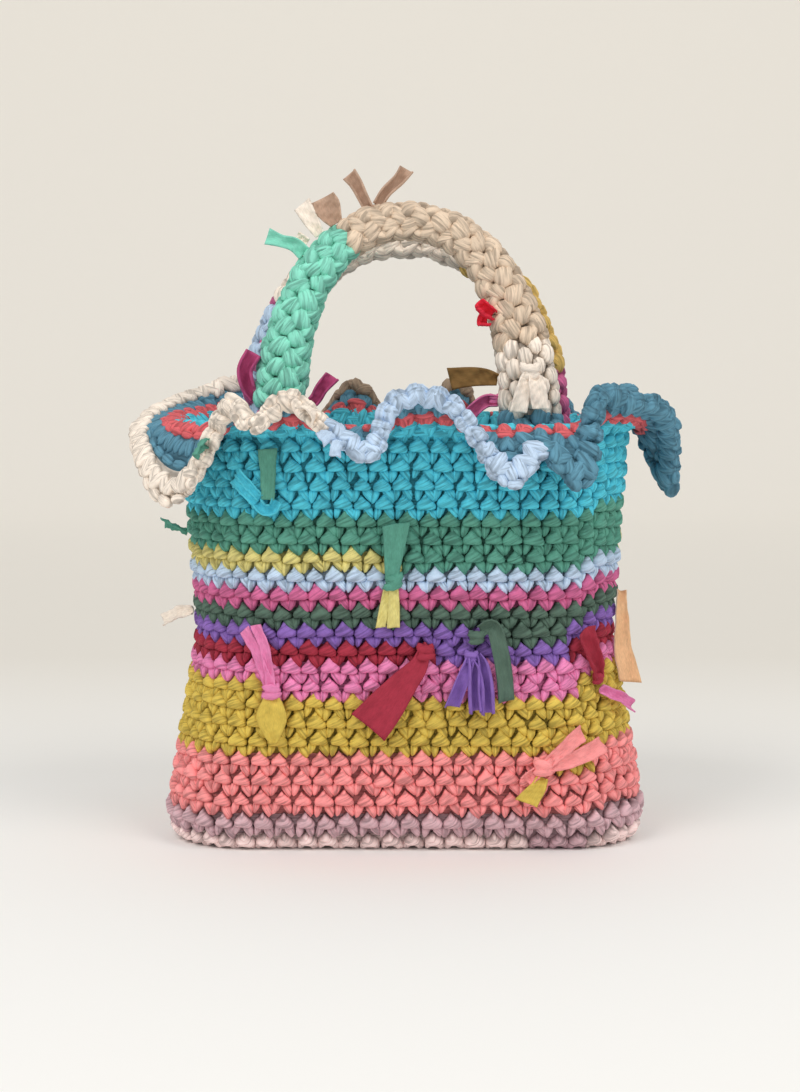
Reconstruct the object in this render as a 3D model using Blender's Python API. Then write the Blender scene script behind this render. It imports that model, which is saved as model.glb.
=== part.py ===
"""Crochet handbag: striped spiral body, ruffled mouth, two arched handles and knotted yarn ends.

The front faces -Y, X runs to the right and Z up. The bag stands on its flat oval base at Z = 0.
Every colour is a length of yarn of its own, so each is an object of its own. All sizes are in metres.
"""
import math

import bmesh
import bpy
import numpy as np
from mathutils import Vector

# Stitches and rounds
STITCH = 0.0124
STITCHES_ROUND = 56
ROW = 0.011
ROWS = 22
WALL = 0.008
RIDGE = 0.0015
COLUMNS = 36
GAP = 0.0003

# Outline of the body
LOW_HALF_WIDTH = 0.1445
WAIST_HALF_WIDTH = 0.1225
RIM_HALF_WIDTH = 0.130
WAIST_HEIGHT = 0.125
LOW_END_RADIUS = 0.050
RIM_END_RADIUS = 0.072
FOOT_INSET = 0.0125
FOOT_ROUND = 0.022
BASE_THICK = 0.008
SEAM_ALONG = 0.110

# Ruffle
RUFFLE_THICK = 0.0055
RUFFLE_EDGE_THICK = 0.0075
RUFFLE_STEM = 0.013
RUFFLE_BEND = 0.35
RUFFLE_STEPS = 3
RUFFLE_SHARES = (0.0, 0.36, 0.58, 0.84, 1.0)
RUFFLE_RIB = 0.045
RUFFLE_PROBE = 0.02

# Handles
STRAP_WIDTH = 0.032
STRAP_WIDE_FOOT = 0.040
STRAP_THICK = 0.018
STRAP_TOP_WIDTH = 0.022
STRAP_ROW = 0.0141
STRAP_RIDGE = 0.0012
STRAP_FOOT = 0.022
STRAP_FLAT = 0.5
ARCH_POWER = 2.25
FRONT_HALF_SPAN = 0.0725
FRONT_TOP = 0.3665
FRONT_TOP_DEPTH = 0.026
BACK_HALF_SPAN = 0.085
BACK_TOP = 0.358
BACK_TOP_DEPTH = 0.022

# Yarn ends
FLAT = 0.0022
KNOT_WIDTH = 0.0095
KNOT_THICK = 0.0075
ROOT_WIDTH = 0.005
ROOT_THICK = 0.004

PERIMETER = STITCH * STITCHES_ROUND
RIM = ROW * ROWS
COLUMN = PERIMETER / COLUMNS
RUFFLE_APART = 0.5 * GAP / RUFFLE_RIB
FOLD_APART = 0.5 * GAP / (COLUMN / RUFFLE_STEPS)

TURQUOISE = (0.045, 0.458, 0.604)
GREEN = (0.072, 0.262, 0.171)
LIME = (0.578, 0.485, 0.091)
PALE_BLUE = (0.485, 0.644, 0.831)
MAGENTA = (0.578, 0.091, 0.283)
DARK_GREEN = (0.080, 0.133, 0.102)
PURPLE = (0.205, 0.114, 0.376)
BURGUNDY = (0.305, 0.026, 0.053)
PINK = (0.679, 0.205, 0.402)
MUSTARD = (0.578, 0.429, 0.045)
CORAL = (0.791, 0.223, 0.235)
LILAC = (0.376, 0.242, 0.352)
PALE_PINK = (0.831, 0.578, 0.604)
CREAM = (0.831, 0.679, 0.546)
BEIGE = (0.610, 0.429, 0.305)
SLATE = (0.091, 0.235, 0.319)
RUFFLE_CORAL = (0.610, 0.102, 0.114)
MINT = (0.091, 0.578, 0.352)
OLIVE = (0.171, 0.091, 0.026)
RED = (0.716, 0.021, 0.045)
OCHRE = (0.604, 0.402, 0.120)
TAUPE = (0.305, 0.205, 0.141)

# Body yarns in working order: name, colour, last row, and where on the front that row ends.
# The ends are lengths along the wall from the front centre, and the seam is at SEAM_ALONG.
BODY_YARNS = (
    ("round_pale_pink", PALE_PINK, 0, 0.078),
    ("rounds_lilac", LILAC, 1, SEAM_ALONG),
    ("rounds_coral_pink", CORAL, 4, 0.084),
    ("rounds_mustard", MUSTARD, 8, -0.082),
    ("rounds_pink", PINK, 9, SEAM_ALONG),
    ("round_burgundy", BURGUNDY, 10, 0.014),
    ("round_purple", PURPLE, 11, 0.043),
    ("rounds_dark_green", DARK_GREEN, 12, SEAM_ALONG),
    ("round_magenta", MAGENTA, 13, SEAM_ALONG),
    ("round_pale_blue", PALE_BLUE, 14, SEAM_ALONG),
    ("round_lime", LIME, 15, -0.009),
    ("rounds_green", GREEN, 17, SEAM_ALONG),
    ("rounds_turquoise", TURQUOISE, 21, SEAM_ALONG),
)

# Folds of the ruffle, going round from the far left: root along the rim from the front centre,
# lean of the edge along the rim, reach of the edge out of the rim, and its height over the rim.
RUFFLE_FOLDS = (
    (-0.158, 0.000, 0.034, -0.005),
    (-0.114, -0.002, 0.036, -0.035),
    (-0.094, 0.000, 0.024, 0.020),
    (-0.079, 0.000, 0.033, 0.009),
    (-0.065, 0.000, 0.023, 0.025),
    (-0.045, 0.000, 0.034, 0.009),
    (-0.019, -0.001, 0.039, -0.007),
    (-0.001, -0.006, 0.022, 0.023),
    (0.024, 0.000, 0.024, 0.024),
    (0.053, 0.004, 0.041, -0.022),
    (0.072, 0.000, 0.032, -0.006),
    (0.088, 0.002, 0.036, -0.023),
    (0.105, -0.002, 0.023, 0.026),
    (0.124, 0.000, 0.025, 0.022),
    (0.145, 0.000, 0.031, 0.017),
    (0.165, 0.000, 0.034, -0.005),
    (0.185, 0.000, 0.034, -0.034),
    (0.212, 0.000, 0.023, 0.025),
    (0.239, 0.000, 0.042, -0.018),
    (0.264, 0.000, 0.023, 0.026),
    (0.290, 0.000, 0.043, -0.022),
    (0.315, 0.000, 0.023, 0.027),
    (0.347, 0.000, 0.042, -0.018),
    (0.380, 0.000, 0.023, 0.026),
    (0.412, 0.000, 0.043, -0.018),
    (0.440, 0.000, 0.023, 0.026),
    (0.464, 0.000, 0.026, 0.022),
    (0.496, 0.000, 0.029, 0.012),
)

# Ruffle rounds from the rim outwards, and the yarns of the last round by their first fold.
RUFFLE_ROUNDS = (
    ("ruffle_turquoise", TURQUOISE),
    ("ruffle_coral_red", RUFFLE_CORAL),
    ("ruffle_slate", SLATE),
)
RUFFLE_EDGES = (
    ("ruffle_edge_cream", CREAM, -4, 5),
    ("ruffle_edge_pale_blue", PALE_BLUE, 5, 10),
    ("ruffle_edge_slate", SLATE, 10, 20),
    ("ruffle_edge_taupe", TAUPE, 20, 24),
)

# Widths of each handle's left and right foot, where the front one spreads on the right.
STRAP_FEET = {-1.0: (STRAP_WIDTH, STRAP_WIDE_FOOT), 1.0: (STRAP_WIDTH, STRAP_WIDTH)}

# Handle yarns: name, colour, and the share of the strap's length at which each ends.
FRONT_HANDLE = (
    ("front_handle_left_root", PALE_BLUE, 0.115),
    ("front_handle_mint", MINT, 0.41),
    ("front_handle_beige", BEIGE, 0.80),
    ("front_handle_cream", CREAM, 0.92),
    ("front_handle_right_root", SLATE, 1.0),
)
BACK_HANDLE = (
    ("back_handle_sky", PALE_BLUE, 0.27),
    ("back_handle_cream", CREAM, 0.62),
    ("back_handle_ochre", OCHRE, 0.84),
    ("back_handle_magenta", MAGENTA, 1.0),
)

# Yarn ends tied off on the wall: name, colour and stations from one tip to the other. A station
# is its length along the wall from the front centre, its height, its lift off the ridges, and
# its width and thickness.
WALL_ENDS = (
    ("end_green_front", GREEN, (
        (-0.0075, 0.158, 0.0, KNOT_WIDTH, KNOT_THICK),
        (-0.0075, 0.165, 0.0, KNOT_WIDTH, KNOT_THICK),
        (-0.0075, 0.172, 0.001, 0.013, FLAT),
        (-0.0065, 0.193, 0.004, 0.022, FLAT))),
    ("end_lime_front", LIME, (
        (-0.0085, 0.1563, 0.0, 0.008, 0.004),
        (-0.0100, 0.150, 0.001, 0.010, FLAT),
        (-0.0120, 0.138, 0.003, 0.012, FLAT))),
    ("end_pink_left", PINK, (
        (-0.0955, 0.134, 0.004, 0.0125, FLAT),
        (-0.0880, 0.114, 0.002, 0.012, FLAT),
        (-0.0830, 0.103, 0.0, KNOT_WIDTH, 0.004),
        (-0.0820, 0.096, 0.0, KNOT_WIDTH, KNOT_THICK))),
    ("end_mustard_leaf", MUSTARD, (
        (-0.0820, 0.0948, 0.0, 0.007, 0.004),
        (-0.0815, 0.083, 0.002, 0.017, FLAT),
        (-0.0805, 0.067, 0.003, 0.007, FLAT))),
    ("end_burgundy_wide", BURGUNDY, (
        (0.0150, 0.124, 0.0, 0.007, KNOT_THICK),
        (0.0110, 0.116, 0.0, KNOT_WIDTH, KNOT_THICK),
        (0.0050, 0.107, 0.001, 0.014, FLAT),
        (-0.0210, 0.080, 0.005, 0.029, FLAT))),
    ("end_purple_pair", PURPLE, (
        (0.0310, 0.088, 0.003, 0.008, FLAT),
        (0.0280, 0.102, 0.002, 0.007, FLAT),
        (0.0310, 0.114, 0.0, 0.005, 0.004),
        (0.0390, 0.119, 0.0, 0.005, 0.005),
        (0.0450, 0.112, 0.0, 0.006, 0.004),
        (0.0465, 0.100, 0.002, 0.010, FLAT),
        (0.0470, 0.086, 0.004, 0.013, FLAT))),
    ("end_dark_green", DARK_GREEN, (
        (0.0430, 0.1245, 0.0, 0.006, 0.005),
        (0.0460, 0.132, 0.0, 0.007, KNOT_THICK),
        (0.0540, 0.136, 0.001, 0.007, 0.004),
        (0.0600, 0.120, 0.003, 0.007, FLAT),
        (0.0625, 0.093, 0.004, 0.007, FLAT))),
    ("end_burgundy_right", BURGUNDY, (
        (0.1120, 0.130, 0.005, 0.011, FLAT),
        (0.1160, 0.116, 0.003, 0.010, FLAT),
        (0.1215, 0.104, 0.0, 0.008, KNOT_THICK))),
    ("end_pink_right", PINK, (
        (0.1255, 0.0945, 0.0, 0.006, 0.005),
        (0.1370, 0.090, 0.003, 0.008, 0.003),
        (0.1520, 0.082, 0.010, 0.010, 0.003))),
    ("end_cream_right", CREAM, (
        (0.1680, 0.1490, 0.0, 0.007, 0.004),
        (0.1690, 0.122, 0.005, 0.012, FLAT),
        (0.1690, 0.097, 0.008, 0.017, FLAT))),
    ("end_coral_bow", CORAL, (
        (0.0800, 0.050, 0.0, KNOT_WIDTH, KNOT_THICK),
        (0.0880, 0.055, 0.0, KNOT_WIDTH, KNOT_THICK),
        (0.0950, 0.059, 0.002, 0.014, FLAT),
        (0.1180, 0.068, 0.005, 0.019, FLAT))),
    ("end_mustard_right", MUSTARD, (
        (0.0815, 0.0435, 0.0, 0.007, 0.004),
        (0.0780, 0.0385, 0.0, 0.009, 0.003),
        (0.0735, 0.033, 0.003, 0.011, FLAT))),
    ("end_cream_left", CREAM, (
        (-0.1605, 0.1375, -0.0008, 0.006, 0.004),
        (-0.1650, 0.136, 0.008, 0.008, FLAT),
        (-0.1690, 0.131, 0.017, 0.009, FLAT))),
    ("end_green_rim", GREEN, (
        (-0.0785, 0.237, 0.0, 0.006, 0.004),
        (-0.0785, 0.226, 0.0, 0.007, 0.003),
        (-0.0795, 0.209, 0.004, 0.008, FLAT))),
    ("end_turquoise_rim", TURQUOISE, (
        (-0.0850, 0.222, 0.0, 0.007, 0.005),
        (-0.0920, 0.219, 0.001, 0.007, 0.004),
        (-0.0970, 0.211, 0.002, 0.008, FLAT))),
)

# Yarn ends on the handles: name, colour, side of the handle, share of the strap's length, the way
# out of the strap as parts across the arch and towards its face, and the line from root to tip.
# A station on that line is its way out, its shift along X and Z, its width and its thickness.
STRAP_ENDS = (
    ("end_taupe_left", TAUPE, -1.0, 0.440, (-1.0, 0.0), (
        (0.000, 0.000, 0.000, ROOT_WIDTH, ROOT_THICK),
        (0.010, 0.003, 0.004, 0.007, ROOT_THICK),
        (0.024, 0.004, 0.004, 0.009, ROOT_THICK))),
    ("end_taupe_right", TAUPE, -1.0, 0.480, (-1.0, 0.0), (
        (0.000, 0.000, 0.000, ROOT_WIDTH, ROOT_THICK),
        (0.010, 0.004, 0.000, 0.007, ROOT_THICK),
        (0.022, 0.016, 0.000, 0.009, ROOT_THICK))),
    ("end_brown_cup", TAUPE, -1.0, 0.390, (-1.0, 0.0), (
        (0.000, 0.000, 0.000, ROOT_WIDTH, ROOT_THICK),
        (0.006, 0.000, 0.002, 0.010, 0.003),
        (0.014, 0.002, 0.001, 0.013, 0.003))),
    ("end_cream_top", CREAM, -1.0, 0.365, (-1.0, 0.0), (
        (0.000, 0.000, 0.000, ROOT_WIDTH, ROOT_THICK),
        (0.008, 0.000, 0.004, 0.008, 0.003),
        (0.018, 0.002, 0.005, 0.010, 0.003))),
    ("end_mint", MINT, -1.0, 0.335, (-1.0, 0.0), (
        (0.000, 0.000, 0.000, ROOT_WIDTH, ROOT_THICK),
        (0.008, 0.000, 0.000, 0.007, 0.003),
        (0.020, -0.002, -0.003, 0.006, 0.003))),
    ("end_cream_knot", CREAM, -1.0, 0.855, (0.0, 1.0), (
        (0.000, 0.000, 0.000, ROOT_WIDTH, ROOT_THICK),
        (0.007, 0.000, 0.000, KNOT_WIDTH, KNOT_THICK),
        (0.013, 0.002, -0.004, KNOT_WIDTH, FLAT),
        (0.017, 0.003, -0.018, 0.010, FLAT))),
    ("end_olive", OLIVE, -1.0, 0.875, (1.0, 0.0), (
        (0.000, 0.000, 0.000, ROOT_WIDTH, ROOT_THICK),
        (0.010, 0.000, 0.003, 0.010, FLAT),
        (0.026, 0.000, 0.003, 0.012, FLAT))),
    ("end_magenta_right", MAGENTA, -1.0, 0.905, (1.0, 0.0), (
        (0.000, 0.000, 0.000, ROOT_WIDTH, ROOT_THICK),
        (0.009, 0.000, -0.002, 0.007, 0.003),
        (0.019, 0.000, -0.012, 0.009, 0.003))),
    ("end_red_loop", RED, -1.0, 0.755, (0.5, 1.0), (
        (0.000, 0.000, 0.000, ROOT_WIDTH, ROOT_THICK),
        (0.003, 0.000, 0.001, 0.009, 0.009),
        (0.008, 0.000, 0.001, 0.007, 0.007))),
    ("end_magenta_back", MAGENTA, 1.0, 0.240, (-1.0, 0.0), (
        (0.000, 0.000, 0.000, ROOT_WIDTH, ROOT_THICK),
        (0.006, 0.000, 0.001, 0.010, 0.004),
        (0.011, 0.000, 0.003, 0.012, 0.004))),
    ("end_magenta_left", MAGENTA, -1.0, 0.135, (-1.0, 0.0), (
        (0.000, 0.000, 0.000, ROOT_WIDTH, ROOT_THICK),
        (0.007, 0.000, 0.003, 0.008, 0.004),
        (0.012, 0.001, 0.020, 0.011, 0.004))),
    ("end_magenta_middle", MAGENTA, -1.0, 0.135, (1.0, 0.0), (
        (0.000, 0.000, 0.000, ROOT_WIDTH, ROOT_THICK),
        (0.006, 0.001, 0.003, 0.007, 0.003),
        (0.013, 0.001, 0.020, 0.009, 0.003))),
)

# Yarn ends on the ruffle's edge: name, colour, fold number, and stations as their way on from
# the edge, their shift down, and their width and thickness.
RUFFLE_ENDS = (
    ("end_cream_ruffle", CREAM, 4.65, (
        (0.000, 0.000, ROOT_WIDTH, ROOT_THICK),
        (0.006, -0.001, 0.009, 0.004),
        (0.009, -0.003, 0.010, 0.004))),
    ("end_pale_blue_ruffle", PALE_BLUE, 5.30, (
        (0.000, 0.000, ROOT_WIDTH, ROOT_THICK),
        (0.006, 0.001, 0.006, 0.003),
        (0.010, -0.002, 0.007, 0.003))),
)


def clear_scene():
    for item in list(bpy.data.objects):
        bpy.data.objects.remove(item, do_unlink=True)


def add_object(name, colour, points, faces):
    """Makes one object from a closed set of faces, with a matt yarn material."""
    mesh = bpy.data.meshes.new(name)
    mesh.from_pydata([tuple(point) for point in points], [], faces)
    shaped = bmesh.new()
    shaped.from_mesh(mesh)
    bmesh.ops.recalc_face_normals(shaped, faces=shaped.faces)
    shaped.to_mesh(mesh)
    shaped.free()
    material = bpy.data.materials.new(name)
    material.use_nodes = True
    shader = material.node_tree.nodes["Principled BSDF"]
    shader.inputs["Base Color"].default_value = (*colour, 1.0)
    shader.inputs["Roughness"].default_value = 0.85
    shader.inputs["Metallic"].default_value = 0.0
    mesh.materials.append(material)
    result = bpy.data.objects.new(name, mesh)
    bpy.context.scene.collection.objects.link(result)
    return result


def half_width(height):
    """Half width of the body: a taper up to the waist, then a slight flare up to the rim."""
    if height < WAIST_HEIGHT:
        share = height / WAIST_HEIGHT
        return LOW_HALF_WIDTH + (WAIST_HALF_WIDTH - LOW_HALF_WIDTH) * share
    share = (height - WAIST_HEIGHT) / (RIM - WAIST_HEIGHT)
    return WAIST_HALF_WIDTH + (RIM_HALF_WIDTH - WAIST_HALF_WIDTH) * share


def end_radius(height):
    """Radius of the oval's round ends, which open out towards the rim."""
    return LOW_END_RADIUS + (RIM_END_RADIUS - LOW_END_RADIUS) * height / RIM


def foot_inset(height):
    """How far the lowest rounds turn in towards the base."""
    share = max(0.0, 1.0 - height / FOOT_ROUND)
    return FOOT_INSET * share * share


def oval_frame(along, height):
    """Point of the oval at a length along it from the front centre, and its outward normal.

    Lengths are those of a round of full stitches, and tighter rounds shorten them alike.
    """
    radius = end_radius(height)
    straight = half_width(height) - radius
    arc = math.pi * radius
    around = 4.0 * straight + 2.0 * arc
    local = (along * around / PERIMETER + straight) % around - straight
    if local <= straight:
        return Vector((local, -radius, height)), Vector((0.0, -1.0, 0.0))
    if local <= straight + arc:
        turn = (local - straight) / radius
        normal = Vector((math.sin(turn), -math.cos(turn), 0.0))
        return Vector((straight, 0.0, height)) + normal * radius, normal
    if local <= 3.0 * straight + arc:
        return Vector((2.0 * straight + arc - local, radius, height)), Vector((0.0, 1.0, 0.0))
    turn = math.pi + (local - 3.0 * straight - arc) / radius
    normal = Vector((math.sin(turn), -math.cos(turn), 0.0))
    return Vector((-straight, 0.0, height)) + normal * radius, normal


def wall_point(along, height, inset):
    """Point on the wall, set in from its outer face; a negative inset stands off it."""
    point, normal = oval_frame(along, height)
    return point - normal * (inset + foot_inset(height))


def yarn_cells():
    """Cells of the wall in working order, each a column and a row, given to the body yarns."""
    cells = []
    start = (0, 0)
    for name, colour, last_row, end_along in BODY_YARNS:
        columns_left = round((SEAM_ALONG - end_along) / COLUMN)
        end = (last_row, COLUMNS - columns_left)
        own = [(column, row) for row in range(ROWS) for column in range(COLUMNS)
               if start <= (row, column) < end]
        cells.append((name, colour, own))
        start = end
    return cells


def yarn_round(name, colour, cells):
    """One yarn's stretch of the spiral wall, with a ridge on each row and stepped ends."""
    owned = set(cells)
    points = []
    places = {}

    def has(column, row):
        return (column % COLUMNS, row) in owned

    def corner(inner, column, row, high_side):
        left = int(has(column - 1, row)), int(has(column - 1, row - 1))
        right = int(has(column, row)), int(has(column, row - 1))
        crossed = left == (1, 0) and right == (0, 1) or left == (0, 1) and right == (1, 0)
        key = (inner, column % COLUMNS, row, crossed and high_side)
        if key not in places:
            aside = right[0] - left[0] + right[1] - left[1]
            up = left[0] - left[1] + right[0] - right[1]
            if crossed:
                aside = right[0] - left[0] if high_side else right[1] - left[1]
                up = 1 if high_side else -1
            aside = max(-1, min(1, aside)) * GAP / 2.0
            up = max(-1, min(1, up)) * GAP / 2.0 if row else 0.0
            along = SEAM_ALONG + column * COLUMN + aside
            places[key] = len(points)
            points.append(wall_point(along, row * ROW + up, WALL if inner else 0.0))
        return places[key]

    def crest(column, row):
        key = ("crest", column % COLUMNS, row)
        if key not in places:
            aside = (int(has(column, row)) - int(has(column - 1, row))) * GAP / 2.0
            along = SEAM_ALONG + column * COLUMN + aside
            places[key] = len(points)
            points.append(wall_point(along, (row + 0.5) * ROW, -RIDGE))
        return places[key]

    faces = []
    for column, row in cells:
        outer, inner = [
            (corner(side, column, row, True), corner(side, column + 1, row, True),
             corner(side, column + 1, row + 1, False), corner(side, column, row + 1, False))
            for side in (False, True)]
        left, right = crest(column, row), crest(column + 1, row)
        faces.append((outer[0], outer[1], right, left))
        faces.append((left, right, outer[2], outer[3]))
        faces.append(tuple(reversed(inner)))
        if not has(column, row - 1):
            faces.append((outer[1], outer[0], inner[0], inner[1]))
        if not has(column, row + 1):
            faces.append((outer[3], outer[2], inner[2], inner[3]))
        if not has(column - 1, row):
            faces.append((outer[0], left, outer[3], inner[3], inner[0]))
        if not has(column + 1, row):
            faces.append((outer[2], right, outer[1], inner[1], inner[2]))
    add_object(name, colour, points, faces)


def base_oval():
    """Flat oval base, set inside the lowest round."""
    points = []
    for share in (0.0, BASE_THICK / ROW):
        for column in range(COLUMNS):
            along = SEAM_ALONG + column * COLUMN
            low = wall_point(along, 0.0, WALL + GAP)
            high = wall_point(along, ROW, WALL + GAP)
            points.append(low.lerp(high, share))
    ring = range(COLUMNS)
    faces = [tuple(ring), tuple(COLUMNS + column for column in ring)]
    for column in ring:
        after = (column + 1) % COLUMNS
        faces.append((column, after, COLUMNS + after, COLUMNS + column))
    add_object("base_oval", PALE_PINK, points, faces)


def fold_values(step):
    """Root, lean, reach and height of the ruffle, smooth through its folds, at a fold number."""
    count = len(RUFFLE_FOLDS)
    index = math.floor(step)
    share = step - index
    near = []
    for shift in (-1, 0, 1, 2):
        turns, fold = divmod(index + shift, count)
        root, lean, reach, lift = RUFFLE_FOLDS[fold]
        near.append(np.array((root + turns * PERIMETER, lean, reach, lift)))
    before, start, end, after = near
    return 0.5 * (2.0 * start + (end - before) * share
                  + (2.0 * before - 5.0 * start + 4.0 * end - after) * share ** 2
                  + (3.0 * start - before - 3.0 * end + after) * share ** 3)


def ruffle_point(step, share):
    """Middle surface of the ruffle: up out of the rim, then over to the edge.

    Each rib is a quadratic curve of foot, bend and edge, and a drooping fold bends higher.
    """
    root, lean, reach, lift = fold_values(step)
    foot = wall_point(root, RIM + GAP, WALL / 2.0)
    droop = 0.5 * (math.hypot(lift, RUFFLE_STEM) - lift)
    bend = wall_point(root, RIM, WALL / 2.0 - RUFFLE_BEND * reach)
    bend += Vector((0.0, 0.0, RUFFLE_STEM + RUFFLE_BEND * droop))
    edge = wall_point(root + lean, RIM, WALL / 2.0 - reach) + Vector((0.0, 0.0, lift))
    return foot * (1.0 - share) ** 2 + bend * (2.0 * share * (1.0 - share)) + edge * share ** 2


def ruffle_normal(step, share):
    """Way the ruffle's inner side faces, from points a small probe away on each side."""
    if share == 0.0:
        return -oval_frame(fold_values(step)[0], RIM)[1]
    across = ruffle_point(step, share + RUFFLE_PROBE) - ruffle_point(step, share - RUFFLE_PROBE)
    along = ruffle_point(step + RUFFLE_PROBE, share) - ruffle_point(step - RUFFLE_PROBE, share)
    return across.cross(along).normalized()


def ruffle_band(name, colour, start, end, inner, outer, outer_thick):
    """One round of the ruffle, from one fold number to another and from one share to another.

    Rounds that meet share the normals of their common line, and stop half a gap short of it.
    The two faces along that line are split on the same diagonals, so they stay parallel.
    """
    closed = end - start == len(RUFFLE_FOLDS)
    stations = (end - start) * RUFFLE_STEPS + (0 if closed else 1)
    points = []
    for station in range(stations):
        step = start + station / RUFFLE_STEPS
        if not closed and station == 0:
            step += FOLD_APART
        if not closed and station == stations - 1:
            step -= FOLD_APART
        low = ruffle_point(step, inner + (RUFFLE_APART if inner > 0.0 else 0.0))
        high = ruffle_point(step, outer - (RUFFLE_APART if outer < 1.0 else 0.0))
        low_offset = ruffle_normal(step, inner) * (RUFFLE_THICK / 2.0)
        high_offset = ruffle_normal(step, outer) * (outer_thick / 2.0)
        points.extend((low + low_offset, high + high_offset, high - high_offset, low - low_offset))
    faces = []
    for station in range(stations if closed else stations - 1):
        after = (station + 1) % stations
        for side in range(4):
            here, there = 4 * station + side, 4 * after + side
            beside, across = 4 * station + (side + 1) % 4, 4 * after + (side + 1) % 4
            if side == 3:
                faces.extend(((here, there, beside), (there, across, beside)))
            else:
                faces.extend(((here, there, across), (here, across, beside)))
    if not closed:
        for ring in (0, 4 * (stations - 1)):
            faces.extend(((ring, ring + 1, ring + 2), (ring, ring + 2, ring + 3)))
    add_object(name, colour, points, faces)


def ruffle():
    folds = len(RUFFLE_FOLDS)
    for index, (name, colour) in enumerate(RUFFLE_ROUNDS):
        inner, outer = RUFFLE_SHARES[index:index + 2]
        ruffle_band(name, colour, 0, folds, inner, outer, RUFFLE_THICK)
    inner, outer = RUFFLE_SHARES[-2:]
    for name, colour, start, end in RUFFLE_EDGES:
        ruffle_band(name, colour, start, end, inner, outer, RUFFLE_EDGE_THICK)


def strap_path(half_span, top, top_depth, side):
    """Middle line of a handle from left foot to right foot, as evenly spaced points.

    The feet stand inside the wall under the rim, and the arch above it is a superellipse that
    leans in towards the middle. Side is -1 for the front handle and 1 for the back handle.
    """
    foot = RIM - STRAP_FOOT
    inner_radius = end_radius(foot) - WALL
    straight = half_width(foot) - end_radius(foot)
    sagitta = inner_radius * (1.0 - math.cos(math.pi * COLUMN / PERIMETER))
    clear = GAP + 2.0 * sagitta + STRAP_THICK / 2.0
    depths = []
    for width in STRAP_FEET[side]:
        beyond = max(0.0, half_span + STRAP_FLAT * width / 2.0 - straight)
        depths.append(math.sqrt(inner_radius ** 2 - beyond ** 2) - clear)
    turns = np.linspace(0.0, math.pi, 721)
    cosine = np.cos(turns)
    sine = np.sin(turns)
    x = -half_span * np.sign(cosine) * np.abs(cosine) ** (2.0 / ARCH_POWER)
    rise = np.abs(sine) ** (2.0 / ARCH_POWER)
    foot_depth = np.where(cosine > 0.0, depths[0], depths[1])
    y = side * (foot_depth + (top_depth - foot_depth) * rise)
    z = RIM + (top - RIM) * rise
    x = np.concatenate(([-half_span], x, [half_span]))
    y = np.concatenate(([side * depths[0]], y, [side * depths[1]]))
    z = np.concatenate(([foot], z, [foot]))
    line = np.stack((x, y, z), axis=1)
    steps = np.linalg.norm(np.diff(line, axis=0), axis=1)
    length = np.concatenate(([0.0], np.cumsum(steps)))
    count = 2 * round(length[-1] / STRAP_ROW) + 1
    even = np.linspace(0.0, length[-1], count)
    return np.stack([np.interp(even, length, line[:, axis]) for axis in range(3)], axis=1)


def strap_ring(line, index, side, shift):
    """Six points round the strap, wide across the arch, thinner between its rows of stitches."""
    last = len(line) - 1
    tangent = Vector(line[min(index + 1, last)] - line[max(index - 1, 0)]).normalized()
    face = Vector((0.0, side, 0.0))
    face = (face - tangent * face.dot(tangent)).normalized()
    across = tangent.cross(face)
    rise = math.sin(math.pi * index / last) ** 2
    foot_width = STRAP_FEET[side][0 if 2 * index < last else 1]
    width = foot_width + (STRAP_TOP_WIDTH - foot_width) * rise
    groove = 0.0 if index % 2 or index in (0, last) else STRAP_RIDGE
    wide = width / 2.0 - groove
    thick = STRAP_THICK / 2.0 - groove
    centre = Vector(line[index]) + tangent * shift
    flat = STRAP_FLAT
    shape = ((-1.0, 0.0), (-flat, 1.0), (flat, 1.0), (1.0, 0.0), (flat, -1.0), (-flat, -1.0))
    return [centre + across * (wide * a) + face * (thick * b) for a, b in shape]


def handle(yarns, line, side):
    last = len(line) - 1
    start = 0
    for name, colour, share in yarns:
        end = round(share * last / 2.0) * 2
        points = []
        for index in range(start, end + 1):
            shift = 0.0
            if index == start and start > 0:
                shift = GAP / 2.0
            if index == end and end < last:
                shift = -GAP / 2.0
            points.extend(strap_ring(line, index, side, shift))
        rings = end - start
        faces = [tuple(range(6)), tuple(6 * rings + corner for corner in range(6))]
        for ring in range(rings):
            for corner in range(6):
                beside = (corner + 1) % 6
                faces.append((6 * ring + corner, 6 * ring + beside,
                              6 * ring + 6 + beside, 6 * ring + 6 + corner))
        add_object(name, colour, points, faces)
        start = end


def ribbon(name, colour, centres, normals, sizes):
    """Yarn end of four sides swept along its centres, flat side towards the normals."""
    last = len(centres) - 1
    points = []
    for index, (width, thick) in enumerate(sizes):
        tangent = (centres[min(index + 1, last)] - centres[max(index - 1, 0)]).normalized()
        across = tangent.cross(normals[index]).normalized() * (width / 2.0)
        out = across.cross(tangent).normalized() * (thick / 2.0)
        centre = centres[index]
        points.extend((centre - across - out, centre + across - out,
                       centre + across + out, centre - across + out))
    faces = [(0, 1, 2, 3), tuple(4 * last + side for side in range(4))]
    for index in range(last):
        for side in range(4):
            beside = (side + 1) % 4
            faces.append((4 * index + side, 4 * index + beside,
                          4 * index + 4 + beside, 4 * index + 4 + side))
    add_object(name, colour, points, faces)


def wall_end(name, colour, stations):
    """Yarn end that lies on the wall, its back just clear of the ridges."""
    centres = []
    normals = []
    for along, height, lift, width, thick in stations:
        stand_off = RIDGE + GAP + lift + thick / 2.0
        centres.append(wall_point(along, height, -stand_off))
        normals.append(oval_frame(along, height)[1])
    ribbon(name, colour, centres, normals, [station[3:] for station in stations])


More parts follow.
